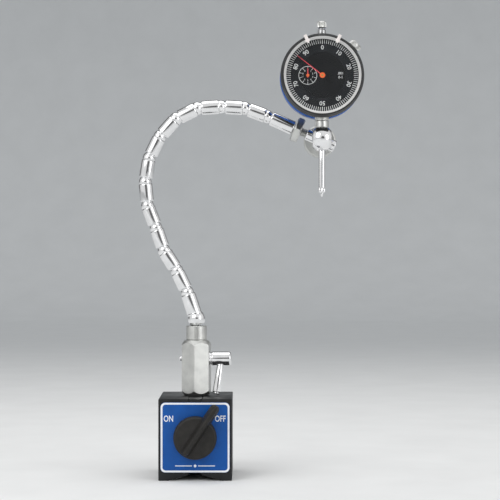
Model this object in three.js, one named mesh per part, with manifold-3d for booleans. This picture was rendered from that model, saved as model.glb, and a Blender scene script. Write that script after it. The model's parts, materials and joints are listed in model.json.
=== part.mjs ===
// Dial indicator on a magnetic base with a flexible ball-jointed arm.
// Millimetres, +Z up, X to the right and Y away from the dial side.
import * as THREE from 'three';
import { mergeVertices } from 'three/addons/utils/BufferGeometryUtils.js';
import Module from 'manifold-3d';

const wasm = await Module();
wasm.setup();

// ---- Clearances ---------------------------------------------------------------------------
const seatGap = 0.3; // between faces that touch on the real object
const runGap = 0.4; // round a piece that turns or slides
const overcut = 1; // how far a cutting tool runs past the face that it cuts

// ---- Magnetic base ------------------------------------------------------------------------
const baseWidth = 50;
const baseDepth = 60;
const baseHeight = 55.5;
const baseChamfer = 0.8;
const poleSpacing = 9; // width of the non-magnetic divider between the two steel poles
const grooveWidth = 36.7; // of the V groove in the sole, across its lower edges
const grooveSlope = 15.5; // degrees
const dividerRecess = 6.6; // height of the divider's lower face over the sole
const rotorAxisHeight = 29.5;
const rotorBoreRadius = 14.5;
const rotorRadius = 13.8;
const rotorFlat = 11.5; // half of the magnet's width between its two flats
const endBushDepth = 5;
const rotorShaftRadius = 4;
const plateWidth = 47;
const plateHeight = 47.5;
const plateThickness = 0.8;
const plateCorner = 3.2;
const knobRadius = 14.8;
const knobDiscHeight = 6.5;
const knobBarWidth = 6.2;
const knobBarHeight = 6.5;
const knobBarLong = 26.7; // from the axis to the pointing end
const knobBarShort = 13.3; // from the axis to the tail end
const knobAngle = 56.2; // degrees anticlockwise from +X: the OFF position
const knobSocketDepth = 5;

// ---- Column and clamping lever ------------------------------------------------------------
const hexFlats = 19;
const hexTurn = -8; // degrees about Z, from one corner straight to the front
const hexHeight = 38;
const hexChamfer = 1.6;
const collarRadius = 7.2;
const collarHeight = 10.1;
const columnBoreRadius = 6.2;
const columnBoreDepth = 33;
const studPlugLength = 10;
const studThreadRadius = 3;
const studThreadLength = 8;
const camHeight = 25.6; // of the cam shaft over the base's top face
const camShaftRadius = 4.9;
const camShaftReach = hexFlats / 2 + 14.8; // from the column's axis to the shaft's outer end
const camSeatDepth = hexFlats / 2 - 2.8; // from the column's axis to the shaft's inner shoulder
const camTipRadius = 1.5;
const camTipReach = hexFlats / 2 + 2.4;
const camThrow = 0.5;
const camLobeRadius = 2.6;
const rodEyeRadius = 5.7;
const rodEyeClearance = 1.2; // between the lobe and the rod's eye, all round
const camLobeHalf = 3;
const leverStart = hexFlats / 2 + 7.7; // from the column's axis to the lever's root
const leverLength = 25.2; // from the shaft's axis to the lever's end
const leverRootRadius = 2.4;
const leverTipRadius = 2.9;
const leverCapRadius = 2.2;
const leverCapLength = 1.4;
const leverLean = 7.6; // degrees towards the column
const leverForward = 10; // degrees towards the front
const rodEyeHalf = 2.4;
const rodRadius = 2.4;
const rodTopBelowBall = 7.2;

// ---- Flexible arm -------------------------------------------------------------------------
const linkPitch = 16.65; // between ball centres
const firstPitch = 19.4;
const linkRadius = 5;
const ballRadius = 4.6;
const firstLinkRadius = 5.3;
const firstBallRadius = 6.2;
const firstBallRise = 5; // of the first ball's centre over the collar's top
const linkShoulder = 3; // from a ball's centre to the shoulder over it
const firstShoulder = 4.2;
const mouthSetback = 1.5; // from a socket's mouth to the centre of the ball in it
const neckDepth = 0.9; // of the groove under the shoulder, from the link's surface
const neckInset = 0.5; // least step from the ball's largest radius in to the neck
const edgeRound = 0.3;
const linkSides = 12;
const cableBoreRadius = 1.6;
const boreFlareRadius = 3.2; // at the ball's lower end, so that the cable can bend at its centre
const cableRadius = 0.8;
const cableSides = 6;
const cableStepsPerLink = 3;
// Bend at each ball, in degrees anticlockwise as seen from the front: the arm's rest curve.
const restBends = [19, 7, 6.5, -13, 1.5, -15.5, -14.5, -17.5, -15.5, -21.5, -22.5, -7.5, -17, -3.5];
const bentLinks = restBends.length;

// ---- Arm end and indicator clamp ------------------------------------------------------------
const endLinkLength = 20.2; // from the last ball's centre to the end link's face
const jamNutFlats = 16.8;
const jamNutThickness = 5.3;
const stubRadius = 3;
const stubBelowFace = 7.9; // length of the stub inside the end link
const shankRadius = 4.1;
const shankLength = 21.9;
const shankNeck = 4; // length of thread showing between the jam nut and the shank
const ferruleRadius = 2.2;
const ferruleLength = 3.5;
const boltRadius = 1.4;
const boltTail = 28.4; // from the shank's axis to the bolt's end
const boltGroove = 0.45;
const boltGrooveFromEnd = 2.1;
const nutRadius = 11.25;
const nutThickness = 5.8;
const nutHubRadius = 3;
const nutHubLength = 7.9;
const yokeRadius = 8.5;
const yokeFlats = 13; // across the two milled sides
const yokeSlot = 11.3; // between the legs
const yokeFoot = 10.1; // from the shank's axis to the ends of the legs
const yokeTop = 29.2; // from the shank's axis to the crown
const yokeCrownThickness = 2.9;
const clampBoreHeight = 18.7; // of the stem bore over the shank's axis
const eyeWall = 1.6;
const eyeRootThickness = 6.6;
const eyeTipThickness = 2.8;
const eyeRootHeight = 5.7;
const stemEndAboveFoot = 2.2; // of the stem's lower end over the clamp's lower side

// ---- Dial indicator ---------------------------------------------------------------------------
// w is the distance in front of the stem's axis, and r the distance from the dial's axis.
const bezelRadius = 28.5;
const bezelBackW = 2.6;
const bezelFrontW = 13;
const bezelLipRadius = 24.6;
const bezelCrownRadius = 26.3;
const bezelWallRadius = 26.2;
const crystalBackW = 9.8;
const crystalThickness = 0.8;
const dialW = 7.4;
const dialThickness = 0.6;
const dialSplitRadius = 15.6;
const caseRadius = 26.5;
const caseWall = 1.8;
const caseBackW = -9;
const caseFrontW = 5.2;
const stemRadius = 4.76;
const stemBelowBezel = 20.3;
const spindleRadius = 2.2;
const spindleShowing = 27.5; // below the stem
const spindleTravel = 25.4;
const rackTopBelowCentre = 20;
const rodTopRadius = 1.6;
const contactCollarRadius = 2.2;
const contactCollarLength = 3.3;
const contactTipRadius = 1;
const contactTipLength = 2.7;
const capRadius = 3.1;
const capLength = 4.7;
const capTop = bezelRadius + 9.3; // over the dial's centre
const upperBushRadius = 2.4;
const pointerLength = 22;
const pointerTail = 6;
const pointerAngle = 51.8; // degrees anticlockwise from straight up
const pointerW = 9;
const counterPointerW = 8.3; // low enough for the main pointer to pass over it
const pointerThickness = 0.25;
const pointerHubRise = 0.1; // of a pointer's hub over its blade
const counterOffset = 9.9;
const counterPointerLength = 5.2;
const rackPinionOffset = 4.1;
const rackPinionRadius = 1.6;
const rackPinionDrop = 8.5;
const rackGearRadius = 7.4;
const arborPinionRadius = 1.75;
const counterPinionRadius = 0.8;
const counterGearRadius = 8.7;
const toleranceSpread = 24; // degrees either side of the top
const clipWidth = 2.2;
const clipReach = 23.4;
const clipThickness = 0.6;
const lockScrewAngle = 43; // degrees from +X
const lockScrewHeadRadius = 4.35;
const lockScrewHeadLength = 3.9;
const lockScrewShankRadius = 1.5;
const lockScrewW = -1.2;
const magnetBackThickness = 10.8;
const magnetBackRimRadius = 26;
const magnetBackRimWidth = 1.6;
const magnetBackRecess = 2;
const ceramicOuterRadius = 21;
const ceramicInnerRadius = 10.2;
const backPoleRadius = 8.4;

// ---- Finishes -----------------------------------------------------------------------------
const finish = (color, roughness, metalness) => ({ color, roughness, metalness });
const blackPaint = finish(0x1b1c1e, 0.45, 0.1);
const blackPlastic = finish(0x232322, 0.5, 0);
const bluePlate = finish(0x16529c, 0.4, 0);
const brass = finish(0xb08d4a, 0.35, 1);
const aluminium = finish(0xa9abad, 0.4, 1);
const satinSteel = finish(0xb4b5b4, 0.4, 1);
const chrome = finish(0xd4d7da, 0.12, 1);
const steel = finish(0x8f9194, 0.35, 1);
const magnetAlloy = finish(0x4b4c50, 0.6, 0.5);
const ceramic = finish(0x5e6062, 0.75, 0);
const blueEnamel = finish(0x1c63b5, 0.35, 0.1);
const blackDial = finish(0x141416, 0.6, 0);
const redEnamel = finish(0xe4502c, 0.4, 0);
const clearAcrylic = finish(0xe8eef2, 0.05, 0);

// ---- Building blocks ------------------------------------------------------------------------
const radians = THREE.MathUtils.degToRad;

function toManifold(geometry) {
  const bare = geometry.index ? geometry.toNonIndexed() : geometry.clone();
  bare.deleteAttribute('normal');
  bare.deleteAttribute('uv');
  const merged = mergeVertices(bare, 1e-5);
  const corners = merged.index.array;
  const kept = [];
  for (let i = 0; i < corners.length; i += 3) {
    const [a, b, c] = [corners[i], corners[i + 1], corners[i + 2]];
    if (a !== b && b !== c && c !== a) kept.push(a, b, c);
  }
  const mesh = new wasm.Mesh({
    numProp: 3,
    vertProperties: new Float32Array(merged.attributes.position.array),
    triVerts: new Uint32Array(kept),
  });
  return new wasm.Manifold(mesh);
}

function toGeometry(solid) {
  const mesh = solid.getMesh();
  const geometry = new THREE.BufferGeometry();
  geometry.setAttribute('position', new THREE.BufferAttribute(new Float32Array(mesh.vertProperties), 3));
  geometry.setIndex(new THREE.BufferAttribute(new Uint32Array(mesh.triVerts), 1));
  return geometry;
}

function cut(geometry, ...tools) {
  return toGeometry(tools.reduce((solid, tool) => solid.subtract(toManifold(tool)), toManifold(geometry)));
}

function join(geometry, ...others) {
  return toGeometry(others.reduce((solid, other) => solid.add(toManifold(other)), toManifold(geometry)));
}

function common(geometry, ...others) {
  return toGeometry(others.reduce((solid, other) => solid.intersect(toManifold(other)), toManifold(geometry)));
}

// A body turned about Z from [radius, height] points that go up its outside.
function turned(points, segments = 24) {
  const profile = points.map(([radius, height]) => new THREE.Vector2(radius, height));
  return new THREE.LatheGeometry(profile, segments).rotateX(Math.PI / 2);
}

function rod(radius, bottom, top, segments = 24) {
  return turned([[0, bottom], [radius, bottom], [radius, top], [0, top]], segments);
}

function tube(inner, outer, bottom, top, segments = 24) {
  return turned([[inner, bottom], [outer, bottom], [outer, top], [inner, top], [inner, bottom]], segments);
}

// Points of an arc of a turned profile, from one angle to another, in degrees from straight up.
function arc(radius, height, from, to, steps) {
  return Array.from({ length: steps + 1 }, (_, i) => {
    const angle = radians(from + ((to - from) * i) / steps);
    return [Math.max(0, radius * Math.sin(angle)), height + radius * Math.cos(angle)];
  });
}

function block(x0, x1, y0, y1, z0, z1) {
  const box = new THREE.BoxGeometry(x1 - x0, y1 - y0, z1 - z0);
  return box.translate((x0 + x1) / 2, (y0 + y1) / 2, (z0 + z1) / 2);
}

// An outline in X and Z with a thickness along Y, from y0 to y1.
function slab(outline, y0, y1, curveSegments = 6) {
  const shape = outline instanceof THREE.Shape ? outline : new THREE.Shape(outline.map(([x, z]) => new THREE.Vector2(x, z)));
  const body = new THREE.ExtrudeGeometry(shape, { depth: y1 - y0, bevelEnabled: false, curveSegments });
  return body.rotateX(Math.PI / 2).translate(0, y1, 0);
}

function roundedOutline(width, height, corner) {
  const [x, z] = [width / 2, height / 2];
  const shape = new THREE.Shape();
  shape.moveTo(corner - x, -z);
  shape.lineTo(x - corner, -z);
  shape.absarc(x - corner, corner - z, corner, -Math.PI / 2, 0);
  shape.lineTo(x, z - corner);
  shape.absarc(x - corner, z - corner, corner, 0, Math.PI / 2);
  shape.lineTo(corner - x, z);
  shape.absarc(corner - x, z - corner, corner, Math.PI / 2, Math.PI);
  shape.lineTo(-x, corner - z);
  shape.absarc(corner - x, corner - z, corner, Math.PI, Math.PI * 1.5);
  return shape;
}

function hexagon(flats, bottom, top) {
  return rod(flats / 2 / Math.cos(Math.PI / 6), bottom, top, 6);
}

// A gear blank with straight-sided teeth, turned about Z.
function gear(radius, toothDepth, teeth, bottom, top) {
  const points = [];
  for (let i = 0; i < teeth * 2; i += 1) {
    const r = i % 2 ? radius - toothDepth : radius;
    for (const part of [0.15, 0.85]) {
      const angle = ((i + part) / (teeth * 2)) * Math.PI * 2;
      points.push(new THREE.Vector2(r * Math.cos(angle), r * Math.sin(angle)));
    }
  }
  const body = new THREE.ExtrudeGeometry(new THREE.Shape(points), { depth: top - bottom, bevelEnabled: false });
  return body.translate(0, 0, bottom);
}

// Turns a body that was built up Z so that it points along X, to the front or to the back.
const alongX = (geometry) => geometry.rotateY(Math.PI / 2);
const toFront = (geometry) => geometry.rotateX(Math.PI / 2);
const toBack = (geometry) => geometry.rotateX(-Math.PI / 2);

function piece(name, geometry, look) {
  const mesh = new THREE.Mesh(geometry, new THREE.MeshStandardMaterial(look));
  mesh.name = name;
  return mesh;
}

function at(x, y, z, ...members) {
  const group = new THREE.Group();
  group.position.set(x, y, z);
  group.add(...members);
  return group;
}

// ---- Magnetic base ------------------------------------------------------------------------
const halfWidth = baseWidth / 2;
const halfDepth = baseDepth / 2;
const halfSpacing = poleSpacing / 2;
const halfGroove = grooveWidth / 2;
const grooveRise = (halfGroove - halfSpacing) * Math.tan(radians(grooveSlope));

function pole(side) {
  const inner = halfSpacing + seatGap / 2;
  const outline = [
    [side * inner, grooveRise],
    [side * halfGroove, 0],
    [side * (halfWidth - baseChamfer), 0],
    [side * halfWidth, baseChamfer],
    [side * halfWidth, baseHeight - baseChamfer],
    [side * (halfWidth - baseChamfer), baseHeight],
    [side * inner, baseHeight],
  ];
  const bore = toFront(rod(rotorBoreRadius, -halfDepth - overcut, halfDepth + overcut, 32));
  return cut(slab(outline, -halfDepth, halfDepth), bore.translate(0, 0, rotorAxisHeight));
}

function divider(bottom, top) {
  const half = halfSpacing - seatGap / 2;
  const bore = toFront(rod(rotorBoreRadius, -halfDepth - overcut, halfDepth + overcut, 32));
  const bar = block(-half, half, -halfDepth, halfDepth, bottom, top);
  return cut(bar, bore.translate(0, 0, rotorAxisHeight));
}

function spacerTop() {
  const hole = rod(studThreadRadius + seatGap, baseHeight - studThreadLength - seatGap, baseHeight + overcut, 16);
  return cut(divider(rotorAxisHeight, baseHeight), hole);
}

const bushRadius = rotorBoreRadius - seatGap;
const shaftBore = rotorShaftRadius + runGap;
const plateBackY = -halfDepth - seatGap;
const plateFrontY = plateBackY - plateThickness;
const knobBackY = plateFrontY - runGap;
const knobFrontY = knobBackY - knobDiscHeight;
const knobTopY = knobFrontY - knobBarHeight;
const magnetHalf = halfDepth - endBushDepth - runGap;

function frontBush() {
  return toFront(tube(shaftBore, bushRadius, halfDepth - endBushDepth, halfDepth, 32));
}

function rearCover() {
  const cap = tube(shaftBore, bushRadius, halfDepth - endBushDepth, halfDepth, 32);
  const disc = turned([
    [0, halfDepth - 1.4],
    [bushRadius - overcut, halfDepth - 1.4],
    [bushRadius - overcut, halfDepth],
    [0, halfDepth],
  ], 32);
  return toBack(join(cap, disc));
}

function rotorMagnet() {
  const round = tube(shaftBore - runGap + seatGap, rotorRadius, -magnetHalf, magnetHalf, 32);
  const flats = block(-rotorFlat, rotorFlat, -rotorRadius, rotorRadius, -halfDepth, halfDepth);
  return toFront(common(round, flats));
}

function rotorShaft() {
  const frontEnd = -knobBackY + knobSocketDepth - seatGap;
  const rearEnd = -(halfDepth - 1.4 - runGap);
  return toFront(rod(rotorShaftRadius, rearEnd, frontEnd, 20));
}

function labelPlate() {
  const hole = toFront(rod(rotorShaftRadius + overcut, halfDepth, -plateFrontY + overcut, 20));
  return cut(slab(roundedOutline(plateWidth, plateHeight, plateCorner), plateFrontY, plateBackY, 4), hole);
}

function switchKnob() {
  const disc = turned([
    [0, -knobBackY],
    [knobRadius, -knobBackY],
    [knobRadius, -knobFrontY - 1],
    [knobRadius - 1, -knobFrontY],
    [0, -knobFrontY],
  ], 32);
  const half = knobBarWidth / 2;
  const outline = new THREE.Shape();
  outline.moveTo(-knobBarShort, -half);
  outline.lineTo(knobBarLong - half, -half);
  outline.absarc(knobBarLong - half, 0, half, -Math.PI / 2, Math.PI / 2);
  outline.lineTo(-knobBarShort, half);
  const bar = slab(outline, knobTopY, knobFrontY + overcut, 6);
  const socket = toFront(rod(rotorShaftRadius + seatGap, -knobBackY - overcut, -knobBackY + knobSocketDepth, 20));
  return cut(join(toFront(disc), bar), socket);
}

const base = new THREE.Group();
base.add(
  piece('pole_left', pole(-1), blackPaint),
  piece('pole_right', pole(1), blackPaint),
  piece('spacer_top', spacerTop(), aluminium),
  piece('spacer_bottom', divider(dividerRecess, rotorAxisHeight), aluminium),
);
const knob = piece('switch_knob', switchKnob(), blackPlastic);
knob.rotation.y = -radians(knobAngle);
base.add(at(0, 0, rotorAxisHeight,
  piece('front_bush', frontBush(), aluminium),
  piece('rear_cover', rearCover(), aluminium),
  piece('rotor_magnet', rotorMagnet(), magnetAlloy),
  piece('rotor_shaft', rotorShaft(), steel),
  piece('label_plate', labelPlate(), bluePlate),
  knob,
));

// ---- Column and clamping lever ------------------------------------------------------------
const columnBottom = seatGap;
const columnTop = columnBottom + hexHeight;
const collarTop = columnTop + collarHeight;
const firstBallHeight = collarTop + firstBallRise;
const hexCornerRadius = hexFlats / 2 / Math.cos(Math.PI / 6);

function hexColumn() {
  const chamferRun = hexCornerRadius - hexFlats / 2 + 0.3;
  const chamferRise = chamferRun * Math.tan(radians(30)) + hexChamfer;
  const cone = turned([
    [0, columnBottom],
    [hexCornerRadius - chamferRun - 0.4, columnBottom],
    [hexCornerRadius, columnBottom + chamferRise],
    [hexCornerRadius, columnTop - chamferRise],
    [hexCornerRadius - chamferRun - 0.4, columnTop],
    [0, columnTop],
  ], 24);
  const body = common(hexagon(hexFlats, columnBottom, columnTop).rotateZ(radians(hexTurn)), cone);
  const collar = rod(collarRadius, columnTop - overcut, collarTop, 18);
  const chamber = rod(columnBoreRadius, columnBottom - overcut, columnBottom + columnBoreDepth, 18);
  const rodBore = rod(rodRadius + runGap, columnBottom, collarTop + overcut, 12);
  const seat = turned(arc(firstBallRadius + seatGap, firstBallHeight, 180, 0, 10), 18);
  const shaftBoreX = rod(camShaftRadius + runGap, -camSeatDepth - runGap, hexFlats, 18);
  const tipBore = rod(camTipRadius + runGap, -hexFlats, 0, 12);
  return cut(
    join(body, collar),
    chamber,
    rodBore,
    seat,
    alongX(shaftBoreX).translate(0, 0, camHeight),
    alongX(tipBore).translate(0, 0, camHeight),
  );
}

function baseStud() {
  const plugTop = columnBottom + studPlugLength;
  return turned([
    [0, -studThreadLength],
    [studThreadRadius, -studThreadLength],
    [studThreadRadius, columnBottom],
    [columnBoreRadius - seatGap, columnBottom],
    [columnBoreRadius - seatGap, plugTop],
    [0, plugTop],
  ], 16);
}

const leverSeat = leverRootRadius - 0.4 + seatGap; // hole in the shaft for the lever's spigot

function leverFrame(geometry) {
  return geometry.rotateX(Math.PI).rotateY(radians(leverLean)).rotateX(-radians(leverForward));
}

function camShaft() {
  const lobe = rod(camLobeRadius, -camLobeHalf - overcut, camLobeHalf + overcut, 20).translate(camThrow, 0, 0);
  const outer = turned([
    [0, camLobeHalf],
    [camShaftRadius, camLobeHalf],
    [camShaftRadius, camShaftReach - 1.2],
    [camShaftRadius - 1.2, camShaftReach],
    [0, camShaftReach],
  ], 24);
  const inner = rod(camShaftRadius, -camSeatDepth, -camLobeHalf, 24);
  const tip = rod(camTipRadius, -camTipReach, -camSeatDepth + overcut, 12);
  const hole = leverFrame(rod(leverSeat, 0, camShaftRadius + 3 * overcut, 12)).translate(leverStart, 0, 0);
  return cut(alongX(join(outer, lobe, inner, tip)), hole);
}

function leverHandle() {
  const spigot = leverSeat - seatGap;
  const shoulder = camShaftRadius + seatGap + 0.4;
  const capStart = leverLength - leverCapLength;
  return leverFrame(turned([
    [0, 1],
    [spigot, 1],
    [spigot, shoulder],
    [leverRootRadius, shoulder],
    [leverTipRadius, capStart],
    [leverCapRadius, capStart + 0.3],
    [leverCapRadius - 0.4, leverLength],
    [0, leverLength],
  ], 16));
}

const eyeHoleRadius = camLobeRadius + camThrow + rodEyeClearance;

function tensionRod() {
  const top = firstBallHeight - camHeight - rodTopBelowBall;
  const eye = alongX(rod(rodEyeRadius, -rodEyeHalf, rodEyeHalf, 20));
  const hole = alongX(rod(eyeHoleRadius, -hexFlats, hexFlats, 20));
  return cut(join(eye, rod(rodRadius, eyeHoleRadius - overcut, top, 16)), hole);
}

const column = at(0, 0, baseHeight,
  piece('base_stud', baseStud(), steel),
  piece('hex_column', hexColumn(), satinSteel),
  at(0, 0, camHeight,
    piece('cam_shaft', camShaft(), chrome),
    at(leverStart, 0, 0, piece('lever_handle', leverHandle(), chrome)),
    piece('tension_rod', tensionRod(), steel),
  ),
);

// ---- Flexible arm -------------------------------------------------------------------------
// The profile of a link's ball, neck and shoulder, from the flare of its bore upwards.
function ballEnd(radius, ball, shoulder) {
  const neck = Math.min(radius - neckDepth, ball - neckInset);
  const flareAngle = 180 - THREE.MathUtils.radToDeg(Math.asin(boreFlareRadius / ball));
  const neckAngle = THREE.MathUtils.radToDeg(Math.asin(neck / ball));
  return [
    ...arc(ball, 0, flareAngle, neckAngle, 4),
    [neck, shoulder],
    [radius - edgeRound, shoulder],
    [radius, shoulder + edgeRound],
  ];
}

// A link stands on the centre of its own ball and carries the next ball in its upper socket.
function armLink(radius, ball, shoulder, pitch) {
  const seat = ballRadius + seatGap;
  const mouth = pitch - mouthSetback;
  const mouthAngle = THREE.MathUtils.radToDeg(Math.acos(-mouthSetback / seat));
  const floorAngle = 180 - THREE.MathUtils.radToDeg(Math.asin(cableBoreRadius / seat));
  const end = ballEnd(radius, ball, shoulder);
  return turned([
    ...end,
    [radius, mouth - edgeRound],
    [radius - edgeRound / 2, mouth],
    ...arc(seat, pitch, mouthAngle, floorAngle, 3),
    [cableBoreRadius, 0],
    end[0],
  ], linkSides);
}

function endLink() {
  const end = ballEnd(linkRadius, ballRadius, linkShoulder);
  const stubHole = stubRadius + seatGap;
  const floor = endLinkLength - stubBelowFace - 2 * seatGap;
  const ferruleHole = ferruleRadius + seatGap;
  const ferruleFloor = floor - ferruleLength - seatGap;
  return turned([
    ...end,
    [linkRadius, endLinkLength - 0.4],
    [linkRadius - 0.4, endLinkLength],
    [stubHole, endLinkLength],
    [stubHole, floor],
    [ferruleHole, floor],
    [ferruleHole, ferruleFloor],
    [cableBoreRadius, ferruleFloor],
    [cableBoreRadius, 0],
    end[0],
  ], linkSides);
}

const twoDigits = (n) => String(n).padStart(2, '0');
const armStart = new THREE.Vector3(0, 0, baseHeight + firstBallHeight);
const ballCentres = [armStart.clone()];
const arm = new THREE.Group();
let heading = 90;
for (let i = 0; i < bentLinks; i += 1) {
  heading += restBends[i];
  const first = i === 0;
  const last = i === bentLinks - 1;
  const pitch = first ? firstPitch : linkPitch;
  const shape = first
    ? armLink(firstLinkRadius, firstBallRadius, firstShoulder, pitch)
    : armLink(linkRadius, ballRadius, linkShoulder, pitch);
  const link = last ? piece('end_link', endLink(), chrome) : piece(`link_${twoDigits(i + 1)}`, shape, chrome);
  link.position.copy(ballCentres[i]);
  link.rotation.y = radians(90 - heading);
  arm.add(link);
  if (!last) {
    const step = new THREE.Vector3(Math.cos(radians(heading)), 0, Math.sin(radians(heading)));
    ballCentres.push(ballCentres[i].clone().addScaledVector(step, pitch));
  }
}
const armHeading = heading;
const endDirection = new THREE.Vector3(Math.cos(radians(armHeading)), 0, Math.sin(radians(armHeading)));
const lastBall = ballCentres[bentLinks - 1];

function alongArmEnd(distance) {
  return lastBall.clone().addScaledVector(endDirection, distance);
}

// The tension cable runs from the rod's top to the ferrule, through the middle of every ball.
const ferruleBottom = endLinkLength - stubBelowFace - 2 * seatGap - ferruleLength;
function tensionCable() {
  const startPoint = armStart.clone().add(new THREE.Vector3(0, 0, seatGap - rodTopBelowBall));
  const corners = [startPoint, ...ballCentres, alongArmEnd(ferruleBottom - seatGap)];
  const knots = [startPoint];
  for (let i = 0; i + 1 < corners.length; i += 1) {
    for (const share of [0.2, 0.8]) knots.push(corners[i].clone().lerp(corners[i + 1], share));
  }
  knots.push(corners[corners.length - 1]);
  const section = new THREE.Shape();
  section.absarc(0, 0, cableRadius, 0, Math.PI * 2);
  return new THREE.ExtrudeGeometry(section, {
    steps: corners.length * cableStepsPerLink,
    extrudePath: new THREE.CatmullRomCurve3(knots, false, 'centripetal'),
    curveSegments: cableSides / 2,
    bevelEnabled: false,
  });
}
arm.add(piece('tension_cable', tensionCable(), steel));

// ---- Arm end and indicator clamp ------------------------------------------------------------
const nutBottom = endLinkLength + seatGap;
const nutTop = nutBottom + jamNutThickness;
const shankBottom = nutTop + shankNeck;
const shankCentre = shankBottom + shankLength / 2;

function jamNut() {
  const corner = jamNutFlats / 2 / Math.cos(Math.PI / 6);
  const cone = turned([
    [0, nutBottom],
    [jamNutFlats / 2, nutBottom],
    [corner, nutBottom + 0.8],
    [corner, nutTop - 0.8],
    [jamNutFlats / 2, nutTop],
    [0, nutTop],
  ], 24);
  const hole = rod(stubRadius + seatGap, nutBottom - overcut, nutTop + overcut, 16);
  return cut(common(hexagon(jamNutFlats, nutBottom, nutTop), cone), hole);
}

function clampShank() {
  const body = turned([
    [0, endLinkLength - stubBelowFace],
    [stubRadius, endLinkLength - stubBelowFace],
    [stubRadius, shankBottom],
    [shankRadius - 0.4, shankBottom],
    [shankRadius, shankBottom + 0.4],
    [shankRadius, shankBottom + shankLength - 0.4],
    [shankRadius - 0.4, shankBottom + shankLength],
    [0, shankBottom + shankLength],
  ], 24);
  const hole = toFront(rod(boltRadius + runGap, -shankRadius - overcut, shankRadius + overcut, 12));
  return cut(body, hole.translate(0, 0, shankCentre));
}

function ferrule() {
  return rod(ferruleRadius, ferruleBottom, ferruleBottom + ferruleLength - seatGap, 12);
}

const armEnd = at(lastBall.x, lastBall.y, lastBall.z,
  piece('cable_ferrule', ferrule(), brass),
  piece('jam_nut', jamNut(), satinSteel),
  piece('clamp_shank', clampShank(), chrome),
);
armEnd.rotation.y = radians(90 - armHeading);

// The clamp is built up Z from the shank's axis, with the stem bore along X.
const stemBoreRadius = stemRadius + seatGap;
const eyeRadius = stemBoreRadius + eyeWall;

function stemBore() {
  const bore = alongX(rod(stemBoreRadius, -yokeRadius - overcut, yokeRadius + overcut, 20));
  return bore.translate(0, 0, clampBoreHeight);
}

function yoke() {
  const crownBase = yokeTop - yokeRadius;
  const bullet = turned([
    [0, yokeFoot],
    [yokeRadius, yokeFoot],
    ...arc(yokeRadius, crownBase, 90, 0, 6),
  ], 24);
  const sides = block(-yokeRadius, yokeRadius, -yokeFlats / 2, yokeFlats / 2, 0, yokeTop + overcut);
  const half = yokeSlot / 2;
  const slot = new THREE.Shape();
  slot.moveTo(-half, yokeFoot - overcut);
  slot.lineTo(half, yokeFoot - overcut);
  slot.lineTo(half, yokeTop - yokeCrownThickness - half);
  slot.absarc(0, yokeTop - yokeCrownThickness - half, half, 0, Math.PI);
  return cut(common(bullet, sides), slab(slot, -yokeRadius, yokeRadius, 6), stemBore());
}

function eyeBolt() {
  const eyeTop = clampBoreHeight + eyeRadius;
  const disc = alongX(rod(eyeRadius, -eyeRootThickness, eyeRootThickness, 20)).translate(0, 0, clampBoreHeight);
  const neck = turned([
    [0, eyeRootHeight],
    [eyeRootThickness / 2, eyeRootHeight],
    [eyeRadius - eyeWall, clampBoreHeight],
    [0, clampBoreHeight],
  ], 20);
  const taper = slab([
    [-eyeRootThickness / 2, eyeRootHeight - overcut],
    [eyeRootThickness / 2, eyeRootHeight - overcut],
    [eyeTipThickness / 2, eyeTop + overcut],
    [-eyeTipThickness / 2, eyeTop + overcut],
  ], -eyeRadius - overcut, eyeRadius + overcut);
  const grooveTop = -boltTail + boltGrooveFromEnd;
  const shaft = turned([
    [0, -boltTail],
    [boltRadius, -boltTail],
    [boltRadius, grooveTop - 0.7],
    [boltRadius - boltGroove, grooveTop - 0.7],
    [boltRadius - boltGroove, grooveTop],
    [boltRadius, grooveTop],
    [boltRadius, eyeRootHeight + overcut],
    [0, eyeRootHeight + overcut],
  ], 12);
  return join(cut(common(join(disc, neck), taper), stemBore()), shaft);
}

function clampNut() {
  const hubTop = -shankRadius - seatGap;
  const discTop = hubTop - nutHubLength;
  const discBottom = discTop - nutThickness;
  return turned([
    [boltRadius + runGap, discBottom],
    [nutRadius - 0.8, discBottom],
    [nutRadius, discBottom + 0.8],
    [nutRadius, discTop - 0.8],
    [nutRadius - 0.8, discTop],
    [nutHubRadius, discTop],
    [nutHubRadius, hubTop],
    [boltRadius + runGap, hubTop],
    [boltRadius + runGap, discBottom],
  ], 24);
}

const clampCentre = alongArmEnd(shankCentre);
const clamp = at(clampCentre.x, clampCentre.y, clampCentre.z,
  piece('clamp_yoke', yoke(), chrome),
  piece('eye_bolt', eyeBolt(), chrome),
  piece('clamp_nut', clampNut(), satinSteel),
);
const clampAxes = new THREE.Matrix4().makeBasis(
  new THREE.Vector3(0, 0, 1),
  new THREE.Vector3(-1, 0, 0),
  new THREE.Vector3(0, -1, 0),
);
clamp.quaternion.setFromRotationMatrix(clampAxes);

// ---- Dial indicator ---------------------------------------------------------------------------
// Built with the dial's axis along Z, w along +Z, the spindle along -Y and +X to the right.
const stemEnd = -bezelRadius - stemBelowBezel;
const spindleEnd = stemEnd - spindleShowing;
const bezelInner = caseRadius + runGap;
const dialCentreHeight = clampCentre.z - yokeRadius + stemEndAboveFoot - stemEnd;

function upAxis(geometry) {
  return geometry.rotateX(-Math.PI / 2); // from Z to Y
}

function indicatorCase() {
  const inner = caseRadius - caseWall;
  const cup = turned([
    [0, caseBackW],
    [caseRadius, caseBackW],
    [caseRadius, caseFrontW],
    [inner, caseFrontW],
    [inner, caseBackW + caseWall],
    [0, caseBackW + caseWall],
  ], 32);
  const spindleHole = upAxis(rod(spindleRadius + runGap, -caseRadius - overcut, -inner + 2, 14));
  const topHole = upAxis(rod(rodTopRadius + runGap, inner - 2, caseRadius + overcut, 12));
  const screwHole = alongX(rod(lockScrewShankRadius + runGap, inner - 2, caseRadius + overcut, 12));
  screwHole.rotateZ(radians(lockScrewAngle)).translate(0, 0, lockScrewW);
  return cut(cup, spindleHole, topHole, screwHole);
}

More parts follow.
